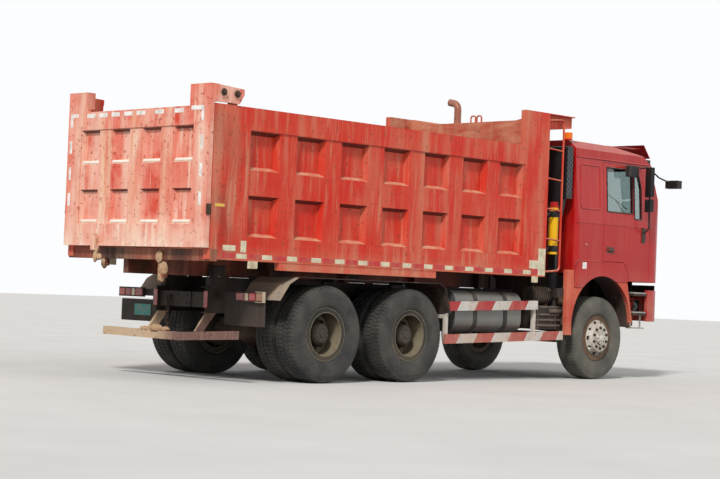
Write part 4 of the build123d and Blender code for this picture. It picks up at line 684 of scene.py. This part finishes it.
# CAD nodes and their materials
FINISHES = {
    body_paint: ("dump_side_right", "dump_side_left", "headboard"),
    body_floor: ("dump_floor",),
    gate_paint: ("tailgate",),
    cab_paint: ("cab_shell", "cab_roof", "door_right", "door_left", "bumper", "sun_visor"),
    mudguard_finish: ("mudguards",),
    chassis_black: ("frame_rails", "subframe", "leaf_springs", "side_boxes", "tail_lamps", "steps"),
    cast_iron: ("front_axle", "drive_axles", "powertrain", "knuckle_right", "knuckle_left", "tie_rod",
                "rear_chain"),
    black_plastic: ("grille", "front_mirror", "dashboard", "steering_wheel", "mirrors_right", "mirrors_left",
                    "air_filter", "hoist_barrel"),
    bare_steel: ("hoist_stage_1", "hoist_stage_2", "hoist_rod"),
    rim_cream: ("rim_front_right", "rim_front_left"),
    rim_olive: ("rims_middle_right", "rims_middle_left", "rims_rear_right", "rims_rear_left"),
    underrun_finish: ("underrun_bar",),
    pipe_finish: ("exhaust",),
    tank_metal: ("fuel_tank",),
    guard_stripes: ("side_guards",),
    intake_mesh: ("air_intake",),
    glass: ("windscreen", "door_glass_right", "door_glass_left"),
    canister_paint: ("canister",),
    headlamp_glass: ("headlamps",),
}
for finish, names in FINISHES.items():
    for name in names:
        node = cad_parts[name]
        if not node.material_slots:
            node.data.materials.append(finish)
        for place in node.material_slots:
            place.material = finish

# Tyres: a carcass with ridged sidewalls, shoulder lugs and two rows of slanting centre blocks
TREAD_BASE = 541
LUG_TOP = 551
RIB_TOP = 550.7
BLOCK_GAP = 4
TYRE_HALF_SECTION = ((105.5, 257), (105.5, 305), (113, 311), (124, 314), (136, 330), (139, 334), (141, 334),
                     (147, 352), (153, 385), (156.5, 425), (155, 452), (154, 458), (156, 462), (155, 468),
                     (150, 478), (146, 496), (138, 514), (130, 527), (118, 536), (100, TREAD_BASE))
FRONT_TYRE_X = 1018
TWIN_TYRES_X = (758, 1088)
TWIN_TURN = 0.03


def tyre(name, lugs):
    """A tyre about the front axle's line at X = 0, with lugs at both shoulders and two rows between them."""
    section = [(-x, r) for x, r in TYRE_HALF_SECTION] + [(x, r) for x, r in reversed(TYRE_HALF_SECTION)]
    parts = [spun(name, section, 0, 96)]
    half_long = math.pi * LUG_TOP / lugs - BLOCK_GAP
    lug = block("lug", (74, -half_long, HUB_Z + TREAD_BASE - 16), (122, half_long, HUB_Z + LUG_TOP), 0)
    edit(lug, lambda centre, normal: normal.x > 0.9)
    bpy.ops.transform.translate(value=(0, 0.004, -0.007))
    bpy.ops.mesh.extrude_region_move(TRANSFORM_OT_translate={"value": (0.013, 0, -0.013)})
    close()
    rib = block("rib_block", (6, -half_long, HUB_Z + TREAD_BASE - 6), (66, half_long, HUB_Z + RIB_TOP), 0)
    edit(rib, lambda centre, normal: normal.x > 0.9)
    bpy.ops.transform.translate(value=(0, 0.012, 0))
    close()
    for piece in (lug, rib):
        bevel(piece, 2.5, 1)
        mirrored = copied(piece, about_axle(FULL_TURN / lugs / 2, 0) @ MIRROR_X)
        parts.append(ring(piece.name, piece, lugs, 0))
        parts.append(ring(piece.name, mirrored, lugs, 0))
    return joined(name, parts)


front_tyre = tyre("front_tyre", 72)
for side_name, side in SIDES:
    piece = copied(front_tyre, moved(side * FRONT_TYRE_X))
    piece.name = f"treaded_tyre_front_{side_name}"
    fit(piece, front_rubber, f"wheel_front_{side_name}")
    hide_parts(f"tyre_front_{side_name}")
    for axle in ("middle", "rear"):
        station = AXLE_STATIONS[axle]
        twins = [copied(front_tyre, about_axle(k * TWIN_TURN, station) @ moved(side * x, station))
                 for k, x in enumerate(TWIN_TYRES_X)]
        piece = joined(f"treaded_tyres_{axle}_{side_name}", twins)
        fit(piece, tyre_rubber, f"wheels_{axle}_{side_name}")
        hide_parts(f"tyres_{axle}_{side_name}")
bpy.data.objects.remove(front_tyre)

# Wheel nuts, cap bolts and hub domes
nut_finish = plain_finish("nut_steel", tint(58, 50, 44), 0.4, Faded=tint(96, 76, 58), Mud=BROWN, Fade=0.8,
                          Runs=0.1, Ledges=0.4, Splash=0.3, Splash_Low=0.3, Splash_High=0.8, Chips=0.4,
                          Gloss=0.5, Relief=0.5)
FRONT_DISC_X = 1200
FRONT_CAP_X = 1229
DRIVE_DISC_X = 940
DRIVE_FLANGE_X = 1150
HUB_PLUG = [(DRIVE_FLANGE_X, 1), (DRIVE_FLANGE_X, 40), (1160, 36), (1160, 1)]


def wheel_nuts(name, face, radius, count, size, reach, station):
    """A ring of hexagon nuts on their washers and stud ends."""

    def step(label, start, end, *form):
        spot = HUB_Z + radius
        return bar(label, (face + start, station, spot), (face + end, station, spot), *form)

    parts = [step("washer", 0, 4, size * 1.25, 16),
             step("nut", 3, reach * 0.7, size, 6, 1.5),
             step("stud", reach * 0.6, reach, size * 0.5, 12, 1)]
    return ring(name, joined("nut", parts), count, station)


front_nuts = wheel_nuts("front_wheel_nuts", FRONT_DISC_X, 138, 10, 17, 30, 0)
cap_bolts = wheel_nuts("cap_bolts", FRONT_CAP_X, 66, 8, 7, 8, 0)
dome = spun("hub_dome", [(FRONT_CAP_X, 1), (FRONT_CAP_X, 44), (1236, 42), (1242, 30), (1244, 1)], 0, 40)
for side_name, side in SIDES:
    for source, finish in ((front_nuts, nut_finish), (cap_bolts, nut_finish), (dome, rim_cream)):
        piece = copied(source, Matrix.Identity(4) if side > 0 else MIRROR_X)
        piece.name = f"{source.name}_{side_name}"
        fit(piece, finish, f"wheel_front_{side_name}")
for source in (front_nuts, cap_bolts, dome):
    bpy.data.objects.remove(source)
for axle in ("middle", "rear"):
    station = AXLE_STATIONS[axle]
    parts = [wheel_nuts("nuts", DRIVE_DISC_X, 168, 10, 17, 34, station),
             wheel_nuts("flange_bolts", DRIVE_FLANGE_X, 76, 10, 9, 12, station),
             spun("hub_plug", HUB_PLUG, station, 32)]
    outer = joined(f"drive_wheel_nuts_{axle}", parts)
    for side_name, side in SIDES:
        piece = copied(outer, Matrix.Identity(4) if side > 0 else MIRROR_X)
        piece.name = f"drive_wheel_nuts_{axle}_{side_name}"
        fit(piece, rim_olive, f"wheels_{axle}_{side_name}")
    bpy.data.objects.remove(outer)

# Reflecting tape on the body's sides
BODY_X = 1228
TAPE_T = 1.5


def side_tape(name, places):
    """Tape pieces on the right side, each from station to station and low to high."""
    return joined(name, [block("tape", (-BODY_X - TAPE_T, front, low), (-BODY_X, rear, high), 0.4)
                         for front, rear, low, high in places])


TAPE_FIRST = 1566
TAPE_PITCH = 376
TAPE_LOW = 1352
TAPE_HIGH = 1404
TAPE_STEPS = [TAPE_FIRST + k * TAPE_PITCH for k in range(14)]
cream_places = [(front, front + 150, TAPE_LOW, TAPE_HIGH) for front in TAPE_STEPS]
cream_places += [(1274, 1420, 1345, 1690), (1421, 1600, 1428, 1532), (6465, 6545, 1420, 1545),
                 (6620, 6800, 1430, 1490)]
red_places = [(front + 165, front + 345, TAPE_LOW, TAPE_HIGH) for front in TAPE_STEPS]
red_places += [(1421, 1550, TAPE_LOW, 1415)]
for name, places, finish in (("cream_side_tape", cream_places, cream_tape),
                             ("red_side_tape", red_places, red_tape)):
    piece = side_tape(f"{name}_right", places)
    fit(other_side(piece, f"{name}_left"), finish, "dump_body")
    fit(piece, finish, "dump_body")

# White tape corners and dashes on the tailgate
GATE_Y = 7058
gate_places = [(-1098, -928, 2912, 2958), (-1136, -1098, 2798, 2958), (1040, 1138, 2905, 2946),
               (1138, 1180, 2798, 2946)]
gate_places += [(x, x + 148, 2893, 2940) for x in (-800, -470, -155, 65, 290, 510, 730)]
gate_places += [(x, x + 44, low, low + 145) for x in (-1140, 1140) for low in (2495, 2197, 1899)]
parts = [block("tape", (x0, GATE_Y, low), (x1, GATE_Y + TAPE_T, high), 0.4)
         for x0, x1, low, high in gate_places]
fit(joined("tailgate_tape", parts), white_tape, "tailgate")

# Near-white dried soil on the ledges of the tailgate's pockets, partly soil and partly a painted highlight
# of sunlit ledges
POCKETS_X = (809, 272, -265, -806)
LEDGES_Z = (1724, 2389)
SOIL_HALF_LONG = 152
ledge_soil_and_highlight = plain_finish("ledge_soil_and_highlight", tint(246, 232, 220), Faded=tint(232, 208, 188),
                          Mud=tint(250, 242, 232), Fade=0.8, Runs=0.1, Ledges=0.8, Splash=0.0, Chips=0.3,
                          Gloss=0.85, Relief=1.0)
parts = [bar("soil", (x - SOIL_HALF_LONG, 7016, z), (x + SOIL_HALF_LONG, 7016, z), 22, 14, 8)
         for x in POCKETS_X for z in LEDGES_Z]
fit(joined("ledge_soil_and_highlight", parts), ledge_soil_and_highlight, "tailgate")

# Tail lamps: ribbed lens blocks in the housings' recesses, the right outer one dull with a dusty rim
dull_lens = plain_finish("dull_lens", tint(150, 112, 92), Faded=tint(122, 84, 70), Mud=tint(196, 168, 140),
                         Fade=0.8, Runs=0.3, Ledges=0.6, Splash=0.2, Chips=0.5, Gloss=0.5, Relief=0.5)
pale_dust = plain_finish("pale_dust", tint(190, 172, 150), Faded=tint(160, 138, 116), Mud=DUST, Fade=0.6,
                         Runs=0.2, Ledges=0.8, Splash=0.2, Chips=0.3, Gloss=0.6, Relief=0.4)
LENSES = ((814, 938, red_lens), (952, 1008, cream_lens), (1022, 1123, red_lens), (1137, 1231, amber_lens))
for k, (inner, outer, finish) in enumerate(LENSES, 1):
    piece = block(f"tail_lens_{k}_left", (inner, 6194, 904), (outer, 6210, 986), 5)
    right_finish = dull_lens if finish == amber_lens else finish
    fit(other_side(piece, f"tail_lens_{k}_right"), right_finish, "chassis")
    fit(piece, finish, "chassis")
parts = [block("rim", (-1246, 6168, low), (-1128, 6212, low + 7), 1.5) for low in (886, 997)]
parts.append(block("rim", (-1247, 6168, 886), (-1240, 6212, 1004), 1.5))
fit(joined("lamp_rim_right", parts), pale_dust, "chassis")

# The blank plate, and the reflectors on the frame's ends
fit(block("number_plate", (688, 6170, 677), (986, 6174, 808), 1.5), teal_plate, "chassis")
parts = [block("reflector", (x - 32, 6313, 805), (x + 32, 6321, 990), 3) for x in (-434, 434)]
fit(joined("frame_end_reflectors", parts), red_lens, "chassis")

# Cab trim
CAB_X = 1222
WAIST_Z = 2080
UPPER_TALL = 866
UPPER_LEAN = 54


def cab_piece(name, parts, finish, body):
    """A trim piece on the right, and its copy on the left; a door's piece rides on its own door."""
    piece = joined(name, parts)
    for obj, side_name in ((other_side(piece, f"{name}_left"), "left"), (piece, "right")):
        obj.name = f"{name}_{side_name}"
        fit(obj, finish, f"door_{side_name}" if body == "door" else body)


def side_x(z):
    """The cab's half width at a height: upright below the waist and leaning in above."""
    return CAB_X if z < WAIST_Z else CAB_X - (z - WAIST_Z) / UPPER_TALL * UPPER_LEAN


def strip(points, width, out):
    """A raised strip on the cab's right side from point to point, each as station and height."""
    return [bar("strip", (-side_x(z0) - out, y0, z0), (-side_x(z1) - out, y1, z1), width, 10)
            for (y0, z0), (y1, z1) in zip(points, points[1:])]


REAR_PANEL = [(105, 2290), (105, 2815), (135, 2843), (500, 2843), (530, 2815), (530, 2290), (500, 2262),
              (135, 2262), (105, 2290)]
ARCH_PANEL = [(646, 1330), (640, 1500), (600, 1555), (563, 1570), (34, 1570)]
WINDOW = [(-55, 2250), (-55, 2845), (-640, 2845), (-640, 2250), (-55, 2250)]
QUARTER = [(-680, 2180), (-680, 2845), (-770, 2845), (-845, 2600), (-845, 2180), (-680, 2180)]
for name, points, width, out, finish, body in (
        ("gutter", [(600, 2940), (-1000, 2940)], 12, 0, cab_paint, "cab"),
        ("waist_rib_rear", [(610, 2074), (40, 2074)], 7, -3, cab_paint, "cab"),
        ("waist_rib_door", [(18, 2074), (-1020, 2074)], 7, -3, cab_paint, "door"),
        ("panel_rib", REAR_PANEL, 12, -3, cab_paint, "cab"),
        ("arch_panel_rib", ARCH_PANEL, 8, -3, cab_paint, "cab"),
        ("window_seal", WINDOW, 9, 0, black_plastic, "door"),
        ("quarter_seal", QUARTER, 8, 0, black_plastic, "door")):
    cab_piece(name, strip(points, width, out), finish, body)
handle = [block("recess", (-CAB_X - 2, -215, 1695), (-CAB_X + 6, -45, 1775), 24),
          bar("handle", (-CAB_X - 22, -195, 1738), (-CAB_X - 22, -65, 1738), 11, 12, 3)]
cab_piece("door_handle", handle, black_plastic, "door")
marker = block("marker", (-CAB_X - 9, 380, 1770), (-CAB_X, 440, 1800), 5)
cab_piece("side_marker", [marker], amber_lens, "cab")
sticker = block("sticker", (-CAB_X - 0.8, 380, 1465), (-CAB_X, 470, 1550), 0.3)
cab_piece("blank_sticker", [sticker], white_tape, "cab")

# Seats: crowned cushions on plain pedestals
PULL_IN = 0.3


def cushion(name, low, high, lean=0.0, crown=0.035):
    """A padded form whose middle stands proud and whose sides pull in between its corners."""
    obj = block(name, low, high, 0)
    only(obj)
    bpy.ops.object.mode_set(mode="EDIT")
    bpy.ops.mesh.select_all(action="SELECT")
    bpy.ops.mesh.subdivide(number_cuts=7)
    close()
    a, b = at(*low), at(*high)
    middle, half = (a + b) / 2, (b - a) / 2
    for vertex in obj.data.vertices:
        offset = vertex.co - middle
        share = [offset[k] / abs(half[k]) for k in range(3)]
        swell = [(1 - share[(k + 1) % 3] ** 2) * (1 - share[(k + 2) % 3] ** 2) for k in range(3)]
        proud = [share[k] * swell[k] * crown - share[k] * (1 - swell[k]) * PULL_IN * crown for k in range(3)]
        vertex.co += Vector(proud)
    if lean:
        pivot = Vector((middle.x, middle.y, a.z))
        turn = Matrix.Translation(pivot) @ Matrix.Rotation(lean, 4, "X") @ Matrix.Translation(-pivot)
        obj.data.transform(turn)
    shape(obj, "SUBSURF", levels=1, render_levels=1)
    return smooth(obj, 80)


pedestals = []
for side_name, side in SIDES:
    x = side * 560
    pedestals.append(block("pedestal", (x - 170, -400, 1446), (x + 170, 20, 1700), 12))
    base = cushion(f"seat_cushion_{side_name}", (x - 235, -440, 1705), (x + 235, 30, 1850))
    back = cushion(f"seat_back_{side_name}", (x - 225, 10, 1890), (x + 225, 100, 2440), -0.17)
    rest = cushion(f"head_rest_{side_name}", (x - 120, 120, 2450), (x + 120, 180, 2560), -0.12, 0.02)
    for piece in (base, back, rest):
        fit(piece, seat_cloth, "cab")
base = fit(joined("seat_pedestals", pedestals), black_plastic, "cab")
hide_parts("seats")

# Wipers
parts = []
for x in (-640, 0, 640):
    parts.append(bar("wiper_arm", (x, -1392, 2130), (x + 190, -1290, 2480), 7, 10))
    parts.append(bar("wiper_blade", (x + 20, -1322, 2360), (x + 340, -1258, 2590), 6, 8))
fit(joined("wipers", parts), black_plastic, "cab")

# Lumps of dried mud on the tailgate's keeper, the lock hooks and the underrun bar
SKIN_SCALE = 0.05
SKIN_DEPTH = 0.028


def clod(centre, size):
    """A lump of dried mud: a round form with an uneven skin."""
    bpy.ops.mesh.primitive_ico_sphere_add(subdivisions=4, radius=1, location=at(*centre))
    bpy.context.object.scale = [s / 1000 for s in size]
    obj = settle("lump")
    skin = bpy.data.textures.new("lump", "CLOUDS")
    skin.noise_scale = SKIN_SCALE
    shape(obj, "DISPLACE", texture=skin, strength=SKIN_DEPTH, mid_level=0.6)
    return smooth(obj, 60)


KEEPER_MUD = (((605, 7088, 1490), (40, 25, 100)), ((590, 7080, 1345), (38, 30, 85)),
              ((540, 7075, 1325), (55, 24, 40)))
HOOK_MUD = (((600, 6940, 1275), (42, 38, 80)), ((-405, 6985, 1345), (62, 24, 70)),
            ((-425, 6940, 1225), (66, 44, 95)), ((-395, 6935, 1120), (50, 40, 62)))
BAR_MUD = (((60, 6475, 540), (90, 40, 34)), ((210, 6480, 548), (120, 42, 46)),
           ((390, 6475, 536), (110, 36, 30)))
for name, lumps, body in (("muddy_keeper", KEEPER_MUD, "tailgate"), ("muddy_hooks", HOOK_MUD, "dump_body"),
                          ("mud_on_bar", BAR_MUD, "chassis")):
    fit(joined(name, [clod(centre, size) for centre, size in lumps]), old_mud, body)

# Ribbed reflectors hanging below the body's edge
REFLECTOR_RIBS = 6
parts = []
for front, rear in ((1420, 1530), (6290, 6425)):
    parts.append(block("back", (-BODY_X, front, 1250), (-BODY_X + 14, rear, 1331), 2))
    for k in range(REFLECTOR_RIBS):
        place = front + (rear - front) * (k + 0.5) / REFLECTOR_RIBS
        parts.append(bar("rib", (-BODY_X - 3, place, 1254), (-BODY_X - 3, place, 1328), 7, 10))
piece = joined("hanging_reflectors_right", parts)
fit(other_side(piece, "hanging_reflectors_left"), cream_tape, "dump_body")
fit(piece, cream_tape, "dump_body")

# The tailgate's bolts and side shackles, and a yellow mark
for name, station, height, body in (("hinge_bolt", 6689, 3104, "dump_body"),
                                    ("arm_bolt", 6880, 3108, "tailgate")):
    parts = [bar("washer", (-1240, station, height), (-1247, station, height), 40, 24, 1.5),
             bar("head", (-1246, station, height), (-1262, station, height), 24, 6, 2)]
    bolt = joined(f"{name}_right", parts)
    fit(other_side(bolt, f"{name}_left"), nut_finish, body)
    fit(bolt, nut_finish, body)
shackle = joined("shackle_right", [block("plate", (-1236, 6992, 1800), (-1222, 7052, 1915), 4),
                                   bar("pin", (-1250, 7022, 1880), (-1222, 7022, 1880), 14, 16, 2),
                                   bar("link", (-1242, 7022, 1880), (-1242, 7030, 1790), 8, 12)])
fit(other_side(shackle, "shackle_left"), cast_iron, "tailgate")
fit(shackle, cast_iron, "tailgate")
yellow_mark = tape("yellow_tape", tint(220, 180, 70))
mark = block("yellow_mark", (-BODY_X - TAPE_T, 6800, 1893), (-BODY_X, 6935, 1925), 0.4)
fit(mark, yellow_mark, "dump_body")

# Dark walls behind the steps and the cab's front edge, with the radiator between them
walls = []
for side in (-1, 1):
    walls.append(block("apron", (side * 386, -1002, 700), (side * 984, -990, 1375), 2))
    walls.append(block("front_liner", (side * 520, -1330, 1150), (side * 1130, -1320, 1290), 2))
walls.append(block("radiator", (-385, -1010, 1035), (385, -940, 1375), 6))
fit(joined("splash_walls", walls), chassis_black, "chassis")

# Slotted plates at the back of the steps, their slots painted near-black as painted shade in the openings
SLOTS_PER_M = 7.2
SLOT_ROWS_PER_M = 19.0
slotted, t, shader = start("slotted_plate")
y, z = t.split(t.place())[1:]
across = t.plus(y, t.times(z, 0.7))
# Painted shade: the openings of the slots are near-black
slot_shade = t.times(t.under(t.calc("FRACT", t.times(across, SLOTS_PER_M)), 0.62),
               t.under(t.calc("FRACT", t.times(z, SLOT_ROWS_PER_M)), 0.55))
weathered(t, shader, t.mix(slot_shade, tint(176, 30, 22), tint(16, 12, 12)),
          Faded=t.mix(slot_shade, tint(190, 60, 44), tint(22, 18, 16)), Fade=0.4, Runs=0.1, Ledges=0.2, Splash=0.4,
          Splash_Low=0.6, Splash_High=1.1, Chips=0.3, Gloss=0.45, Relief=0.3)
plates = [block("slotted", (side * 1000, -1008, 722), (side * 1003, -702, 1178), 1) for side in (-1, 1)]
fit(joined("step_plates", plates), slotted, "chassis")

# Details of the battery box and of the air tanks behind the guard
parts = [block("lid", (-1106, 746, 925), (-640, 1325, 958), 6)]
for height in (700, 770, 840):
    parts.append(bar("rib", (-1102, 770, height), (-1102, 1300, height), 16, 12))
for place in (850, 1220):
    parts.append(block("strap", (-1112, place, 660), (-1096, place + 34, 962), 3))
parts.append(bar("air_tank", (-1112, 770, 890), (-1112, 1010, 890), 30, 24, 6))
fit(joined("battery_trim", parts), black_plastic, "chassis")

# Pale tread plates on the steps and a hanging lower step
STEPS_Z = (901, 1165)
GRIPS = 9
GRIP_PITCH = 35
parts = []
for side in (-1, 1):
    for height in STEPS_Z:
        low, high = (side * 1040, -1010, height + 2), (side * 1221, -705, height + 16)
        parts.append(block("tread_plate", low, high, 3))
        for k in range(GRIPS):
            place = -995 + k * GRIP_PITCH
            low, high = (side * 1060, place, height + 14), (side * 1205, place + 9, height + 21)
            parts.append(block("grip", low, high, 2))
    for place in (-985, -760):
        parts.append(block("hanger", (side * 1150, place, 700), (side * 1156, place + 34, 905), 1))
    parts.append(block("low_step", (side * 1100, -1000, 690), (side * 1205, -710, 706), 4))
step_metal = plain_finish("step_metal", tint(178, 176, 172), 0.3, Faded=tint(140, 132, 122), Mud=DUST,
                          Fade=0.5, Runs=0.2, Ledges=0.3, Splash=0.4, Splash_Low=0.65, Splash_High=1.0,
                          Chips=0.3, Gloss=0.4, Relief=0.2)
fit(joined("step_treads", parts), step_metal, "chassis")

# Ground
GROUND_SIZE = 160
bpy.ops.mesh.primitive_plane_add(size=GROUND_SIZE, location=(0, 0, 0))
ground = settle("ground")
ground_finish, t, shader = start("pale_ground")
patches = t.ramp(t.noise(t.place(), 0.8, 6), 0.3, 0.7)
t.link(t.mix(patches, tint(206, 205, 202), tint(214, 213, 210)), shader.inputs["Base Color"])
shader.inputs["Roughness"].default_value = 0.9
ground.data.materials.append(ground_finish)
ground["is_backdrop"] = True

# The sky lights less than it shows to the camera and in reflections
SKY_LIGHT = 0.42
SKY_SEEN = 0.58
world = bpy.data.worlds.new("studio")
bpy.context.scene.world = world
world.use_nodes = True
t = Tree(world.node_tree)
rays = t.add("LightPath", {}).outputs
seen = t.calc("MAXIMUM", rays["Is Glossy Ray"], rays["Is Transmission Ray"])
seen = t.calc("MAXIMUM", rays["Is Camera Ray"], seen)
sky = world.node_tree.nodes["Background"]
sky.inputs["Color"].default_value = (0.97, 0.985, 1.0, 1.0)
t.link(t.plus(SKY_LIGHT, t.times(seen, SKY_SEEN)), sky.inputs["Strength"])


def sun(name, direction, strength, angle, color=(1, 1, 1)):
    """A sun that shines from this direction, as wide as this angle in degrees."""
    lamp = bpy.data.lights.new(name, "SUN")
    lamp.energy = strength
    lamp.angle = math.radians(angle)
    lamp.color = color
    obj = bpy.data.objects.new(name, lamp)
    bpy.context.collection.objects.link(obj)
    obj.rotation_euler = Vector(direction).to_track_quat("Z", "Y").to_euler()


sun("key", (-0.42, 0.78, 0.8), 2.6, 8, (1.0, 0.98, 0.95))
sun("fill", (-0.7, -0.5, 0.45), 0.5, 60)

# The photo's camera
YAW, PITCH, ROLL = (math.radians(angle) for angle in (44.018, 1.637, 2.259))
CAMERA_PLACE = (-15.3879, 16.5438, 1.0633)
LENS_MM = 88.96
SENSOR_MM = 36
look = Vector((math.sin(YAW) * math.cos(PITCH), -math.cos(YAW) * math.cos(PITCH), math.sin(PITCH)))
right = look.cross(Vector((0, 0, 1))).normalized()
up = right.cross(look)
tilted_right = right * math.cos(ROLL) + up * math.sin(ROLL)
tilted_up = up * math.cos(ROLL) - right * math.sin(ROLL)
camera = bpy.data.objects.new("camera", bpy.data.cameras.new("camera"))
bpy.context.collection.objects.link(camera)
turn = Matrix([(tilted_right[k], tilted_up[k], -look[k]) for k in range(3)]).to_4x4()
camera.matrix_world = Matrix.Translation(CAMERA_PLACE) @ turn
camera.data.lens = LENS_MM
camera.data.sensor_width = SENSOR_MM
camera.data.clip_end = 300
bpy.context.scene.camera = camera
bpy.context.scene.view_settings.view_transform = "Standard"

low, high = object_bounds()
